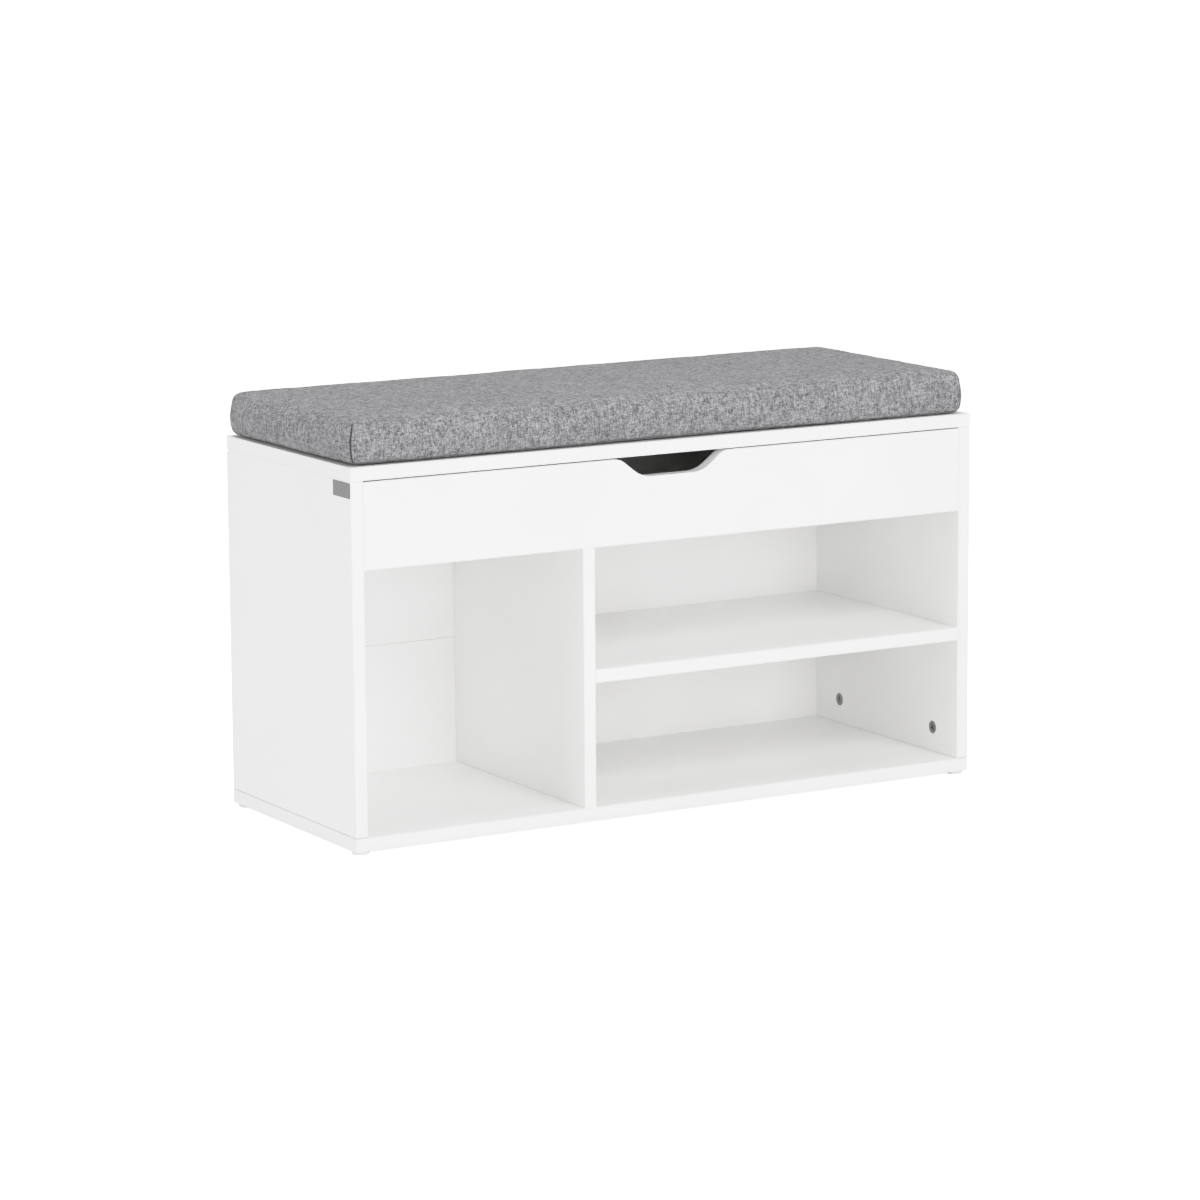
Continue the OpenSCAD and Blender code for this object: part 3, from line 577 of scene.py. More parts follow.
def lattice_shell(low, high, cell):
    """Closed box of even quads. Gives its points, its faces and a UV for every face corner."""
    size = high - low
    counts = [max(2, round(s / cell)) for s in size]
    index, points = {}, []

    def corner(key):
        if key not in index:
            index[key] = len(points)
            points.append([low[a] + size[a] * key[a] / counts[a] for a in range(3)])
        return index[key]

    faces, corners_uv = [], []
    for axis in range(3):
        a, b = [(1, 2), (2, 0), (0, 1)][axis]
        for side in (0, counts[axis]):
            for i in range(counts[a]):
                for j in range(counts[b]):
                    quad = []
                    for di, dj in ((0, 0), (1, 0), (1, 1), (0, 1)):
                        key = [0, 0, 0]
                        key[axis], key[a], key[b] = side, i + di, j + dj
                        quad.append(tuple(key))
                    if side == 0:
                        quad.reverse()
                    faces.append([corner(k) for k in quad])
                    for k in quad:
                        place = [size[n] * k[n] / counts[n] for n in range(3)]
                        offset = PANEL_SHIFT * (2 * axis + (side > 0))
                        uv = (place[0], place[1]) if axis == 2 else (place[2], place[1 - axis])
                        corners_uv.append((uv[0] + offset, uv[1] + offset))
    return np.array(points), faces, corners_uv


def seam_gap(points, low, high, quiet):
    """Distance of each lattice point to its nearest seam, and how much that seam shows.

    Corner seams show in full, the hem less, and the seam round the top hides in the fold.
    """
    inner = np.minimum(points - np.array(low), np.array(high) - points)
    side = inner[:, :2].min(1)
    corner = inner[:, :2].max(1)
    hem = np.maximum(points[:, 2] - low[2], side)
    fold = np.maximum(high[2] - points[:, 2], side)
    nearest = np.minimum(np.minimum(corner, hem), fold)
    shows = np.where(nearest == corner, 1.0, np.where(nearest == hem, 0.4, quiet))
    return nearest, shows


def rounded(points, low, high, cushion):
    """Rounds the edges of the box that the points lie on, more at the top than at the hem."""
    rise = (points[:, 2:] - low[2]) / (high[2] - low[2])
    share = np.clip(rise * 1.6 - 0.3, 0, 1)
    radius = cushion.hem_radius + (cushion.edge_radius - cushion.hem_radius) * share
    core = np.clip(points, np.array(low) + radius, np.array(high) - radius)
    away = points - core
    length = np.maximum(np.linalg.norm(away, axis=1, keepdims=True), 1e-9)
    return core + away / length * radius


def smooth_noise(points, scale, seed):
    """Smooth random value of about -1 to 1 at every point."""
    shift = Vector((seed * 3.7, seed * 1.3, seed * 2.1))
    return np.array([noise.noise(Vector(p) * scale + shift) for p in points]) * 2


def foam_form(points, low, high, cushion):
    """The foam's own form: crowned top, walls that swell in the middle and lean in below."""
    low, high = np.array(low), np.array(high)
    size, middle = high - low, (low + high) / 2
    share = (points - middle) / (size / 2)
    rise = np.clip((points[:, 2] - low[2]) / size[2], 0, 1)
    crown = cushion.crown * (1 - share[:, 0] ** 2) * (1 - share[:, 1] ** 2)
    made = points.copy()
    made[:, 2] += crown * np.clip(rise * 2 - 1, 0, 1)
    profile = np.sin(np.pi * rise ** 0.6)
    for axis, other, swell, lean in (
        (0, 1, cushion.end_swell, cushion.end_lean), (1, 0, cushion.side_swell, cushion.side_lean),
    ):
        wall = np.clip((np.abs(share[:, axis]) - 0.9) / 0.1, 0, 1)
        between = 1 - 0.5 * np.abs(share[:, other]) ** 6
        push = swell * profile * between - lean * (1 - rise) ** 3
        made[:, axis] += np.sign(share[:, axis]) * wall * push
    made[:, 1] -= share[:, 1] * cushion.waist * (1 - share[:, 0] ** 2)
    return made


CLOTH = {
    "quality": 6, "mass": 0.25, "tension_stiffness": 12, "compression_stiffness": 12,
    "bending_stiffness": 0.6, "air_damping": 6, "use_pressure": True,
    "vertex_group_mass": "hold", "pin_stiffness": 0.8,
}


def blow_up(piece, cushion, hold):
    """Cloth simulation of the sewn cover over its foam, with its result applied and capped."""
    scene = bpy.context.scene
    start = np.array([v.co for v in piece.data.vertices])
    group = piece.vertex_groups.new(name="hold")
    for level in np.unique(hold):
        group.add([int(i) for i in np.flatnonzero(hold == level)], float(level), "REPLACE")
    cloth = piece.modifiers.new("Cloth", "CLOTH")
    for name, value in CLOTH.items():
        setattr(cloth.settings, name, value)
    cloth.settings.uniform_pressure_force = cushion.pressure
    cloth.settings.effector_weights.gravity = 0
    cloth.collision_settings.use_collision = False
    cloth.point_cache.frame_start = 1
    cloth.point_cache.frame_end = cushion.frames
    for step in range(1, cushion.frames + 1):
        scene.frame_set(step)
    graph = bpy.context.evaluated_depsgraph_get()
    settled = np.array([v.co for v in piece.evaluated_get(graph).data.vertices])
    piece.modifiers.remove(cloth)
    scene.frame_set(1)
    move = settled - start
    length = np.maximum(np.linalg.norm(move, axis=1, keepdims=True), 1e-9)
    move *= np.minimum(1.0, cushion.most_move / length)
    piece.data.vertices.foreach_set("co", (start + move).astype(np.float32).ravel())
    piece.data.update()
    piece.vertex_groups.clear()


def read_attribute(mesh, name):
    values = np.zeros(len(mesh.vertices), np.float32)
    mesh.attributes[name].data.foreach_get("value", values)
    return values


def sew(piece, cushion, floor_z):
    """Draws in the seams, puckers the cloth beside them and hangs the hem, lifted in places."""
    mesh = piece.data
    count = len(mesh.vertices)
    points = np.zeros(count * 3, np.float32)
    normals = np.zeros(count * 3, np.float32)
    mesh.vertices.foreach_get("co", points)
    mesh.vertex_normals.foreach_get("vector", normals)
    points, normals = points.reshape(-1, 3).astype(float), normals.reshape(-1, 3)
    roll_share, roll_place = 0.35, 2.4
    pucker_reach, ripple_reach, hem_height = 0.007, 0.012, 0.012
    pucker_scale, ripple_scale, lift_scale = 150.0, 17.0, 9.0
    gap = read_attribute(mesh, "seam_gap")
    depth = cushion.seam_depth * read_attribute(mesh, "seam_shows")
    width = cushion.seam_width
    pinch = -depth * np.exp(-((gap / width) ** 2))
    roll = roll_share * depth * np.exp(-(((gap - roll_place * width) / width) ** 2))
    pucker = cushion.pucker * smooth_noise(points, pucker_scale, 1) * np.exp(-gap / pucker_reach)
    off_seam = 1 - np.exp(-gap / ripple_reach)
    ripple = cushion.ripple * smooth_noise(points, ripple_scale, 2) * off_seam
    points += normals * (pinch + roll + pucker + ripple)[:, None]
    rise = points[:, 2] - floor_z
    hem = np.clip(1 - rise / hem_height, 0, 1) * np.clip(1 - gap / cushion.hem_reach, 0, 1)
    lift = np.clip(1.6 * smooth_noise(points * [1, 1, 0], lift_scale, 3) - 0.2, 0, 1)
    points[:, 2] = np.maximum(points[:, 2], floor_z) - hem * cushion.hem_drop * (1 - lift)
    mesh.vertices.foreach_set("co", points.astype(np.float32).ravel())
    mesh.update()


def make_cushion(cushion):
    """The sewn cover over its foam."""
    low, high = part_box("cushion_cover")
    inset = Vector((cushion.start_inset, cushion.start_inset, 0.0))
    low, high = low + inset, high - inset
    points, faces, corners_uv = lattice_shell(low, high, cushion.cell)
    gap, shows = seam_gap(points, low, high, cushion.fold_share)
    form = foam_form(rounded(points, low, high, cushion), low, high, cushion)
    wrinkle, wrinkle_scale = 0.0003, 60.0
    form += wrinkle * np.stack([smooth_noise(form, wrinkle_scale, s) for s in (4, 5, 6)], axis=1)
    form[:, 2] = np.maximum(form[:, 2], low[2])
    mesh = plain_mesh("cushion_cover", form, faces)
    add_weave(mesh, corners_uv, gap, shows)
    piece = new_object("cushion", mesh, linen(cushion))
    glued, resting, sewn, loose = 1.0, 0.5, 0.35, 0.12
    rim, seam = 0.02, 0.001
    bottom = form[:, 2] <= low[2] + 1e-4
    hold = np.where(bottom & (gap > rim), glued, np.where(bottom, resting, loose))
    hold = np.where(gap < seam, np.maximum(hold, sewn), hold)
    blow_up(piece, cushion, hold.round(2))
    finer = piece.modifiers.new("finer", "SUBSURF")
    finer.levels = finer.render_levels = 1
    settle_modifiers(piece)
    sew(piece, cushion, low[2])
    return piece


def seam_lines(piece):
    """The vertices and edges of a cushion that lie on its seams, as a line mesh a little proud."""
    mesh = piece.data
    on_seam = (read_attribute(mesh, "seam_gap") < 1e-5) & (read_attribute(mesh, "seam_shows") > 0.3)
    kept = [tuple(e.vertices) for e in mesh.edges if all(on_seam[v] for v in e.vertices)]
    used = sorted({v for ends in kept for v in ends})
    place = {v: i for i, v in enumerate(used)}
    proud = 0.00005
    points = [mesh.vertices[v].co + mesh.vertices[v].normal * proud for v in used]
    return points, [(place[a], place[b]) for a, b in kept]


# ---------- settings ----------


def number(name, description, default):
    kind = IntProperty if isinstance(default, int) else FloatProperty
    return kind(name=name, description=description, default=default)


def length(name, description, default):
    return FloatProperty(
        name=name, description=description, default=default, unit="LENGTH", precision=5
    )


def power(name, description, default):
    return FloatProperty(name=name, description=description, default=default, unit="POWER")


def angle(name, description, default):
    return FloatProperty(name=name, description=description, default=default, subtype="ANGLE")


def colour(name, description, default):
    return FloatVectorProperty(
        name=name, description=description, default=default, subtype="COLOR", min=0.0, max=1.0
    )


class BenchBoards(bpy.types.PropertyGroup):
    white: colour("Board white", "Colour of the board faces", (0.93, 0.93, 0.928))
    roughness: number("Roughness", "Mean roughness of the foil", 0.42)
    band: length("Edge band", "Thickness of the band along the board edges", 0.0008)


class BenchCushion(bpy.types.PropertyGroup):
    light_yarn: colour("Light yarn", "Colour of the light yarns", (0.47, 0.47, 0.482))
    dark_yarn: colour("Dark yarn", "Colour of the dark yarns", (0.105, 0.105, 0.11))
    yarn_pitch: length("Yarn pitch", "Width of one yarn", 0.0009)
    cell: length("Cell", "Grid of the cloth simulation", 0.0055)
    edge_radius: length("Edge radius", "Roundness of the foam's top", 0.010)
    hem_radius: length("Hem radius", "Roundness of the bottom edge", 0.0035)
    start_inset: length("Start inset", "How much smaller the cloth starts", 0.0005)
    crown: length("Crown", "Rise of the top in the middle", 0.0012)
    end_swell: length("End swell", "Swell of the end walls", 0.0060)
    end_lean: length("End lean", "How far the ends lean in at the bottom", 0.003)
    side_swell: length("Side swell", "Swell of the long walls", 0.0015)
    side_lean: length("Side lean", "How far the long walls lean in", 0.001)
    waist: length("Waist", "Pull-in of the long sides between the corners", 0.0012)
    pressure: number("Pressure", "Pressure of the foam on the cover", 4.0)
    frames: number("Frames", "Steps of the cloth simulation", 20)
    most_move: length("Most move", "Cap on how far the cloth moves", 0.003)
    seam_depth: length("Seam depth", "How deep a seam draws in", 0.0012)
    fold_share: number("Fold share", "How much the seam round the top shows", 0.1)
    seam_width: length("Seam width", "Half width of a seam's valley", 0.0014)
    pucker: length("Pucker", "Height of the puckers beside a seam", 0.0004)
    ripple: length("Ripple", "Unevenness of the panels", 0.00045)
    hem_drop: length("Hem drop", "How far the hem hangs below the foam", 0.0011)
    hem_reach: length("Hem reach", "Width of cloth that hangs with the hem", 0.008)
    stitch_pitch: length("Stitch pitch", "Length of one stitch", 0.003)


class BenchStage(bpy.types.PropertyGroup):
    place: FloatVectorProperty(
        name="Camera place", description="Where the camera stands", subtype="TRANSLATION",
        default=(-2.58367, -4.39648, 1.11999),
    )
    yaw: angle("Yaw", "Camera's turn about Z", -0.5303)
    pitch: angle("Pitch", "Camera's tilt below the horizon", 0.1746)
    roll: angle("Roll", "Camera's roll", -0.0064)
    lens: number("Lens", "Focal length in millimetres", 136.29)
    floor_level: number("Floor", "Brightness of the floor", 0.92)
    floor_glow: number("Floor glow", "Light added to the seen floor", 1.0)
    white: number("White point", "Light that is shown as pure white", 1.35)
    sky: number("Surround", "Strength of the even white surround", 0.45)
    bounces: number("Bounces", "Diffuse bounces inside the white bays", 10)
    front: power("Front light", "Power of the front light", 56.0)
    high: power("High light", "Power of the high front light", 52.0)
    top: power("Top light", "Power of the overhead light", 31.0)
    side: power("Side light", "Power of the left light", 38.0)


# ---------- operators ----------

SIDE_PANELS = ("left_side_panel", "right_side_panel")
WHITE_BOARDS = (
    "bottom_panel", *SIDE_PANELS, "divider_panel", "shelf_panel", "compartment_floor",
    "front_panel", "rear_rail", "lid_panel",
)


class BENCH_OT_stage(bpy.types.Operator):
    """Sets the pale floor, the soft lights and the camera"""

    bl_idname = "bench.stage"
    bl_label = "Set the stage"

    def execute(self, context):
        stage = context.scene.bench_stage
        camera = bpy.data.objects.new("camera", bpy.data.cameras.new("camera"))
        context.scene.collection.objects.link(camera)
        camera.data.sensor_width = 36.0
        camera.data.lens = stage.lens
        camera.data.clip_end = 100.0
        yaw, pitch, roll = stage.yaw, stage.pitch, stage.roll
        level = math.cos(pitch)
        forward = Vector((-math.sin(yaw) * level, math.cos(yaw) * level, -math.sin(pitch)))
        right = Vector((math.cos(yaw), math.sin(yaw), 0.0))
        up = right.cross(forward)
        right, up = (
            math.cos(roll) * right + math.sin(roll) * up,
            -math.sin(roll) * right + math.cos(roll) * up,
        )
        turn = Matrix((right, up, -forward)).transposed()
        camera.matrix_world = Matrix.Translation(stage.place) @ turn.to_4x4()
        context.scene.camera = camera

        reach = 30.0
        corners = [(-reach, -reach, 0), (reach, -reach, 0), (reach, reach, 0), (-reach, reach, 0)]
        floor = new_object("floor", plain_mesh("floor", corners, [(0, 1, 2, 3)]), pale_floor(stage))

        world = bpy.data.worlds.new("surround")
        context.scene.world = world
        world.use_nodes = True
        tree = Tree(world.node_tree)
        seen = tree.node("ShaderNodeLightPath")
        strength = tree.ramp(seen, 0.0, 1.0, stage.sky, stage.white + 0.5)
        surround = tree.node("ShaderNodeBackground", (1.0, 1.0, 1.0, 1.0), strength)
        tree.node("ShaderNodeOutputWorld", surround)
        for name, place, size, power in (
            ("front", (-0.3, -4.2, 0.7), (3.4, 1.8), stage.front),
            ("high front", (0.2, -3.2, 2.6), (3.0, 1.6), stage.high),
            ("side", (-3.6, 0.3, 1.1), (2.2, 1.6), stage.side),
            ("top", (0.0, 0.1, 3.0), (2.6, 1.6), stage.top),
        ):
            light = bpy.data.objects.new(name, bpy.data.lights.new(name, "AREA"))
            light.data.shape = "RECTANGLE"
            light.data.size, light.data.size_y = size
            light.data.energy = power
            light.location = place
            aim = Vector((0.0, 0.0, 0.25)) - light.location
            light.rotation_euler = aim.to_track_quat("-Z", "Y").to_euler()
            context.scene.collection.objects.link(light)
        view = context.scene.view_settings
        view.view_transform = "Standard"
        view.use_curve_mapping = True
        view.curve_mapping.white_level = (stage.white,) * 3
        shoulder = view.curve_mapping.curves[3]
        for light_in, shown in ((0.25, 0.25), (0.6, 0.62), (0.76, 0.765), (1.1, 0.89)):
            shoulder.points.new(light_in / stage.white, shown)
        view.curve_mapping.update()
        context.scene.cycles.diffuse_bounces = stage.bounces
        return {"FINISHED"}


class BENCH_OT_boards(bpy.types.Operator):
    """Finishes the white boards and the two fibre back boards"""

    bl_idname = "bench.boards"
    bl_label = "Finish the boards"

    def execute(self, context):
        boards = context.scene.bench_boards
        for node in WHITE_BOARDS:
            dress(node, melamine(node, boards))
        for node in ("lower_back_board", "upper_back_board"):
            dress(node, lacquered_fibre(node, boards))
        return {"FINISHED"}


class BENCH_OT_metalwork(bpy.types.Operator):
    """Finishes the feet, dowels, screws, hinges and lid stays"""

    bl_idname = "bench.metalwork"
    bl_label = "Finish the metalwork"

    def execute(self, context):
        dress("foot_pads", moulded_plastic("white_foot_plastic", 0.82))
        dress("dowels", beech())
        plated = metal("zinc_plating", 0.58, 0.3, (1.0, 1.0, 0.15))
        for node in (
            "foot_nails", "cam_bolts", "hinge_pins", "hinge_rail_screws", "stay_pivot_screws",
            "hinge_lid_screws", "stay_bracket_screws", "stay_bracket_rivets",
            "left_stay_rivet", "right_stay_rivet",
        ):
            dress(node, plated)
        nickel = metal("nickel_sheet", 0.66, 0.28, (0.08, 1.0, 1.0))
        for node in ("hinge_fixed_leaves", "hinge_lid_leaves", "stay_lid_brackets"):
            dress(node, nickel)
        bar = metal("stay_bar", 0.68, 0.34, (1.0, 0.1, 1.0))
        for side in ("left", "right"):
            for arm in ("lower", "upper"):
                dress(f"{side}_stay_{arm}_arm", bar)
        return {"FINISHED"}


class BENCH_OT_fasteners(bpy.types.Operator):
    """Makes the cam locks and the back-board nails on the places of their CAD solids"""

    bl_idname = "bench.fasteners"
    bl_label = "Make the fasteners"

    def execute(self, context):
        tree = fastener_tree()
        cast = metal("die_cast_zinc", 0.36, 0.42, (1, 1, 1), 0.8)
        self.place(tree, "cam_locks", cam_shape(), cast, "zinc_casting", 0.7)
        bright = metal("bright_nail", 0.7, 0.3, (1, 1, 1))
        self.place(tree, "back_board_nails", nail_shape(), bright, "bright_steel", 3.1)
        return {"FINISHED"}

    def place(self, tree, node, shape, material, slot, spread):
        heads = [head_of(points) for points in solids(node)]
        if not heads:
            raise RuntimeError(f"{node} has no solids to copy")
        spots = plain_mesh(node, [place for place, _ in heads])
        facing = spots.attributes.new("facing", "FLOAT_VECTOR", "POINT")
        facing.data.foreach_set("vector", np.array([way for _, way in heads], np.float32).ravel())
        source = new_object(node + "_source", shape)
        piece = new_object(node + "_set", spots)
        run_tree(piece, tree, **{"Fastener": source, "Turn spread": spread, "Material": material})
        bpy.data.objects.remove(source)
        hand_over(piece, slot, node)


def head_of(points):
    """Centre of a fastener's outer face and the way it faces: the end with more corners."""
    low, high = points.min(0), points.max(0)
    size = high - low
    others = [abs(size[a] - size[(a + 1) % 3]) for a in range(3)]
    axis = (int(np.argmin(others)) + 2) % 3
    at_low = (points[:, axis] < low[axis] + 1e-5).sum()
    at_high = (points[:, axis] > high[axis] - 1e-5).sum()
    centre = (low + high) / 2
    way = np.zeros(3)
    centre[axis], way[axis] = (high[axis], 1.0) if at_high > at_low else (low[axis], -1.0)
    return centre, way


def cam_shape():
    """Cam lock with its outer face at z = 0: grooved rim and a crossed driver slot."""
    radius, height, groove, sides = 7.5, 11.7, 0.3, 48
    slot_reach, slot_half, slot_depth, slot_taper = 4.6, 0.9, 2.0, 0.9
    bm = bmesh.new()
    rings = lathe(bm, [
        (radius * 0.72, 0.0), (radius * 0.80, 0.0), (radius * 0.82, -groove),
        (radius * 0.88, -groove), (radius * 0.90, 0.0), (radius * 0.96, 0.0),
        (radius, -groove), (radius, groove - height), (radius * 0.9, -height),
    ], sides)
    bm.faces.new(reversed(rings[-1]))
    outline = []
    for quarter in range(4):
        turn = Matrix.Rotation(quarter * math.pi / 2, 2)
        arm = ((slot_half, slot_half), (slot_reach, slot_half), (slot_reach, -slot_half))
        outline += [turn @ Vector(corner) * MM for corner in arm]
    outline.sort(key=lambda corner: math.atan2(corner.y, corner.x))
    mouth = [bm.verts.new((x, y, 0.0)) for x, y in outline]
    floor = [bm.verts.new((x * slot_taper, y * slot_taper, -slot_depth * MM)) for x, y in outline]
    for i in range(len(outline)):
        j = (i + 1) % len(outline)
        bm.faces.new((mouth[i], mouth[j], floor[j], floor[i]))
    bm.faces.new(floor)
    border = [
        bm.edges.get((ring[i - 1], ring[i]))
        for ring in (rings[0], mouth) for i in range(len(ring))
    ]
    bmesh.ops.triangle_fill(bm, use_beauty=True, edges=border, normal=(0, 0, 1))
    bmesh.ops.recalc_face_normals(bm, faces=bm.faces)
    return mesh_from("cam_lock", bm, smooth=False)


def nail_shape():
    """Panel nail with its head at z = 0: low dome, short neck and a point."""
    bm = bmesh.new()
    rings = lathe(bm, [
        (0.02, 0.30), (0.7, 0.27), (1.25, 0.16), (1.65, 0.0), (1.8, -0.2),
        (1.75, -0.45), (0.95, -0.8), (0.8, -1.1), (0.8, -10.4), (0.05, -12.0),
    ], 16)
    bm.faces.new(rings[0])
    bm.faces.new(reversed(rings[-1]))
    bmesh.ops.recalc_face_normals(bm, faces=bm.faces)
    return mesh_from("panel_nail", bm)


class BENCH_OT_cushion(bpy.types.Operator):
    """Sews the cushion cover over its foam, with its seams and stitches"""

    bl_idname = "bench.cushion"
    bl_label = "Make the cushion"

    def execute(self, context):
        cushion = context.scene.bench_cushion
        piece = make_cushion(cushion)
        hand_over(piece, "grey_linen", "cushion_cover", "cushion_foam")

        points, edges = seam_lines(piece)
        line = new_object("seam_stitches", plain_mesh("seam_stitches", points, edges=edges))
        thread = nylon("seam_thread", 0.16, 0.6)
        run_tree(line, stitch_tree(), **{"Pitch": cushion.stitch_pitch, "Material": thread})
        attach(line, "lid")
        return {"FINISHED"}


class BENCH_OT_zip(bpy.types.Operator):
    """Makes the zip in the back of the cover: tapes, welts, teeth and slider"""

    bl_idname = "bench.zip"
    bl_label = "Make the zip"

    def execute(self, context):
        cover = bpy.data.objects["cushion"]
        surface = BVHTree.FromPolygons(
            [v.co for v in cover.data.vertices], [p.vertices for p in cover.data.polygons]
        )
        low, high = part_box("cushion_zip")
        middle = (low.z + high.z) / 2
        steps = 140
        xs = [low.x + (high.x - low.x) * i / steps for i in range(steps + 1)]

        def on_back(x, z, proud):
            """The point of the cover's back at x and z, moved out by proud."""
            hit = surface.ray_cast(Vector((x, high.y + 0.03, z)), Vector((0.0, -1.0, 0.0)))[0]
            if hit is None:
                raise RuntimeError("the zip misses the back of the cover")
            return hit + Vector((0.0, proud, 0.0))

        tape = self.ribbon("zip_tape", xs, on_back, low.z, high.z)
        tape.data.materials.append(woven_tape("zip_tape", 0.26, 0.0011, 0.25))
        hand_over(tape, "zip_tape", "cushion_zip")
        beside = 0.0004
        for name, z in (("upper_welt", high.z + beside), ("lower_welt", low.z - beside)):
            welt = self.welt(name, xs, on_back, z)
            welt.data.materials.append(linen(context.scene.bench_cushion))
            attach(welt, "lid")

        line = [on_back(x, middle, 0.0007) for x in xs]
        links = [(i, i + 1) for i in range(steps)]
        teeth = new_object("zip_teeth", plain_mesh("zip_teeth", line, edges=links))
        run_tree(teeth, zip_tree(), Material=nylon("zip_nylon", 0.2))
        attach(teeth, "lid")

        slide_low, slide_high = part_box("zip_slider")
        place = on_back((slide_low.x + slide_high.x) / 2, middle, 0.0)
        nickel = metal("slider_nickel", 0.62, 0.26, (1, 1, 1))
        slider = new_object("zip_slider_pull", slider_shape(place), nickel)
        hand_over(slider, "bright_steel", "zip_slider")
        return {"FINISHED"}

    def ribbon(self, name, xs, on_back, z_low, z_high):
        """Flat tape that follows the cloth, with its own thickness."""
        proud, thick, rows = 0.0002, 0.0004, 6
        heights = [z_low + (z_high - z_low) * r / rows for r in range(rows + 1)]
        points = [on_back(x, z, proud) for x in xs for z in heights]
        piece = new_object(name, plain_mesh(name, points, grid_faces(len(xs), rows + 1)))
        thicken(piece, thick)
        piece.data.shade_smooth()
        return piece

    def welt(self, name, xs, on_back, z):
        """Folded cloth edge beside the zip: a flattened roll with a UV for the weave."""
        sides, wide, tall, proud, strand = 10, 0.0017, 0.0009, 0.0001, 0.001
        points, faces, corners_uv = [], [], []
        for x in xs:
            base = on_back(x, z, proud)
            for s in range(sides):
                angle = 2 * math.pi * s / sides
                points.append(base + Vector((0.0, tall * math.sin(angle), wide * math.cos(angle))))
        for i in range(len(xs) - 1):
            for s in range(sides):
                t = (s + 1) % sides
                a, b = i * sides + s, i * sides + t
                faces.append((a, b, b + sides, a + sides))
                u, v = s * strand, (s + 1) * strand
                corners_uv += [(u, xs[i]), (v, xs[i]), (v, xs[i + 1]), (u, xs[i + 1])]
        for start in (0, (len(xs) - 1) * sides):
            ring = list(range(start, start + sides))
            faces.append(ring if start else ring[::-1])
            corners_uv += [(0.0, 0.0)] * sides
        mesh = plain_mesh(name, points, faces)
        add_weave(mesh, corners_uv, 0.01, 0.01)
        return new_object(name, mesh)


def slider_shape(place):
    """Zip slider that faces +Y: two joined wings, a bridge over them and a wide-ended pull."""
    bm = bmesh.new()
    for x_from, x_to, y_from, y_to, half_height, bevel in (
        (-5.5, 3.5, 0.5, 1.4, 3.4, 0.4),
        (-0.5, 6.2, 0.5, 1.3, 2.6, 0.4),
        (-3.5, 2.5, 1.3, 2.6, 0.8, 0.5),
        (-18.5, -3.0, 1.6, 2.3, 1.7, 0.3),
        (-25.0, -18.0, 1.4, 2.4, 2.6, 0.5),
    ):
        low, high = Vector((x_from, y_from, -half_height)), Vector((x_to, y_to, half_height))
        soft_box(bm, place + low * MM, place + high * MM, bevel * MM)
    return mesh_from("zip_slider_pull", bm)


class BENCH_OT_strips(bpy.types.Operator):
    """Makes the hook and the loop tapes that hold the cushion on the lid"""

    bl_idname = "bench.strips"
    bl_label = "Make the fastening strips"

    def execute(self, context):
        tree = pile_tree()
        thick, pitch = 0.00035, 0.0034
        for node, up, level in (("hook_strips", 1.0, 0.05), ("loop_strips", -1.0, 0.08)):
            tape_bm = bmesh.new()
            spots = []
            for points in solids(node):
                low, high = points.min(0), points.max(0)
                base = (low[2], low[2] + thick) if up > 0 else (high[2] - thick, high[2])
                soft_box(tape_bm, (low[0], low[1], base[0]), (high[0], high[1], base[1]), 0.0001, 1)
                root = base[1] if up > 0 else base[0]
                for i in range(int((high[0] - low[0]) / pitch) - 1):
                    for j in range(int((high[1] - low[1]) / pitch) - 1):
                        x = low[0] + pitch * (i + 0.8) + pitch / 2 * (j % 2)
                        spots.append((x, low[1] + pitch * (j + 1), root))
            tape = new_object(node + "_tape", mesh_from(node + "_tape", tape_bm, smooth=False),
                              woven_tape(node + "_weave", level, 0.0009, 0.3))
            hand_over(tape, "strip_tape", node)
            pile = new_object(node + "_pile", plain_mesh(node + "_pile", spots))
            run_tree(pile, tree, Up=up, Material=nylon(node + "_nylon", level * 1.2))
            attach(pile, BODY_OF[node])
        return {"FINISHED"}


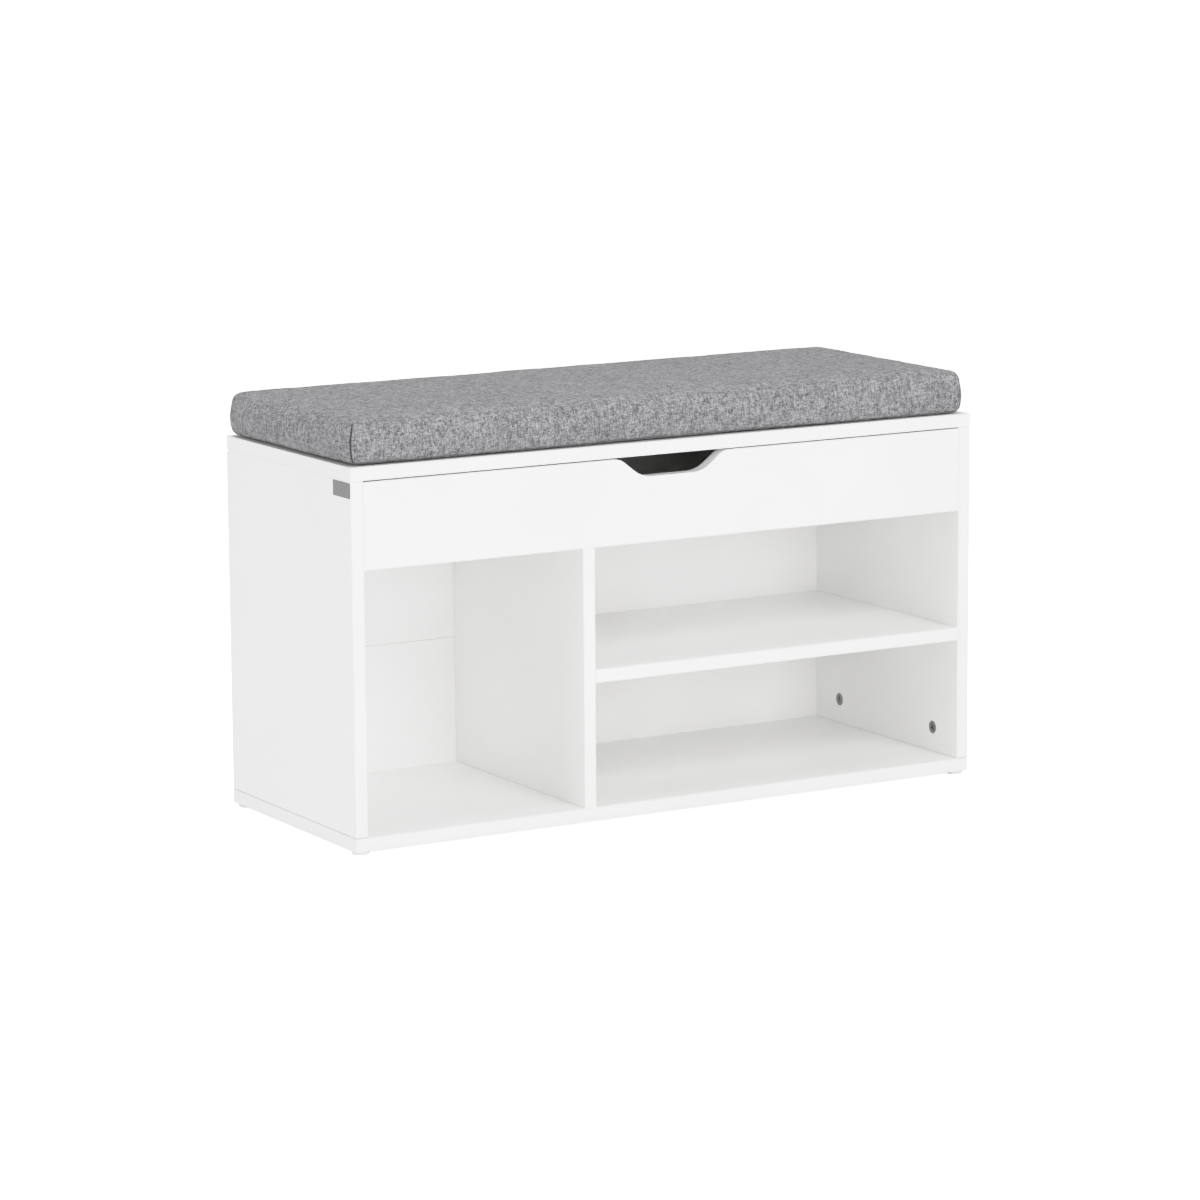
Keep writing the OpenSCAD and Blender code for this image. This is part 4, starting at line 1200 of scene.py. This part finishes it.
class BENCH_OT_tag(bpy.types.Operator):
    """Makes the small blank woven tag on the left side"""

    bl_idname = "bench.tag"
    bl_label = "Make the tag"

    def execute(self, context):
        low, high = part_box("side_tag")
        across, down, corner, sunk = 40, 18, 0.0012, 0.00022
        hem_in, hem_width, hem_rise = 0.0008, 0.0005, 0.00012
        wave, wave_y, wave_z = 0.00006, 420.0, 300.0
        points = []
        for i, j in np.ndindex(across + 1, down + 1):
            y = low.y + (high.y - low.y) * i / across
            z = low.z + (high.z - low.z) * j / down
            from_y = min(y - low.y, high.y - y)
            from_z = min(z - low.z, high.z - z)
            if from_y < corner and from_z < corner:
                middle_y = low.y + corner if y - low.y < corner else high.y - corner
                middle_z = low.z + corner if z - low.z < corner else high.z - corner
                away = Vector((y - middle_y, z - middle_z))
                away *= max(abs(away.x), abs(away.y), 1e-9) / max(away.length, 1e-9)
                y, z = middle_y + away.x, middle_z + away.y
            hem = hem_rise * math.exp(-((min(from_y, from_z) - hem_in) / hem_width) ** 2)
            lift = wave * math.sin(y * wave_y) * math.sin(z * wave_z + 1.0)
            points.append((high.x - sunk - hem - lift, y, z))
        mesh = plain_mesh("side_tag_label", points, grid_faces(across + 1, down + 1))
        piece = new_object("side_tag_label", mesh)
        thicken(piece, 0.0002)
        piece.data.materials.append(woven_tape("woven_tag", 0.3, 0.0007, 0.2))
        hand_over(piece, "grey_tag", "side_tag")
        return {"FINISHED"}


class BENCH_PT_panel(bpy.types.Panel):
    bl_label = "Entryway bench"
    bl_idname = "BENCH_PT_panel"
    bl_space_type = "VIEW_3D"
    bl_region_type = "UI"
    bl_category = "Bench"

    def draw(self, context):
        for group in (getattr(context.scene, name) for name in GROUPS):
            box = self.layout.box()
            for name in group.__annotations__:
                box.prop(group, name)
        for operator in OPERATORS:
            self.layout.operator(operator.bl_idname)


GROUPS = {"bench_boards": BenchBoards, "bench_cushion": BenchCushion, "bench_stage": BenchStage}
OPERATORS = (
    BENCH_OT_stage, BENCH_OT_boards, BENCH_OT_metalwork, BENCH_OT_fasteners, BENCH_OT_cushion,
    BENCH_OT_zip, BENCH_OT_strips, BENCH_OT_tag,
)


def register():
    for made in (*GROUPS.values(), *OPERATORS, BENCH_PT_panel):
        bpy.utils.register_class(made)
    for name, group in GROUPS.items():
        setattr(bpy.types.Scene, name, PointerProperty(type=group))


def unregister():
    for name in GROUPS:
        delattr(bpy.types.Scene, name)
    for made in reversed((*GROUPS.values(), *OPERATORS, BENCH_PT_panel)):
        bpy.utils.unregister_class(made)


def main():
    register()
    bpy.ops.bench.stage()
    bpy.ops.bench.boards()
    bpy.ops.bench.metalwork()
    bpy.ops.bench.fasteners()
    bpy.ops.bench.cushion()
    bpy.ops.bench.zip()
    bpy.ops.bench.strips()
    bpy.ops.bench.tag()


if __name__ == "__main__":
    main()
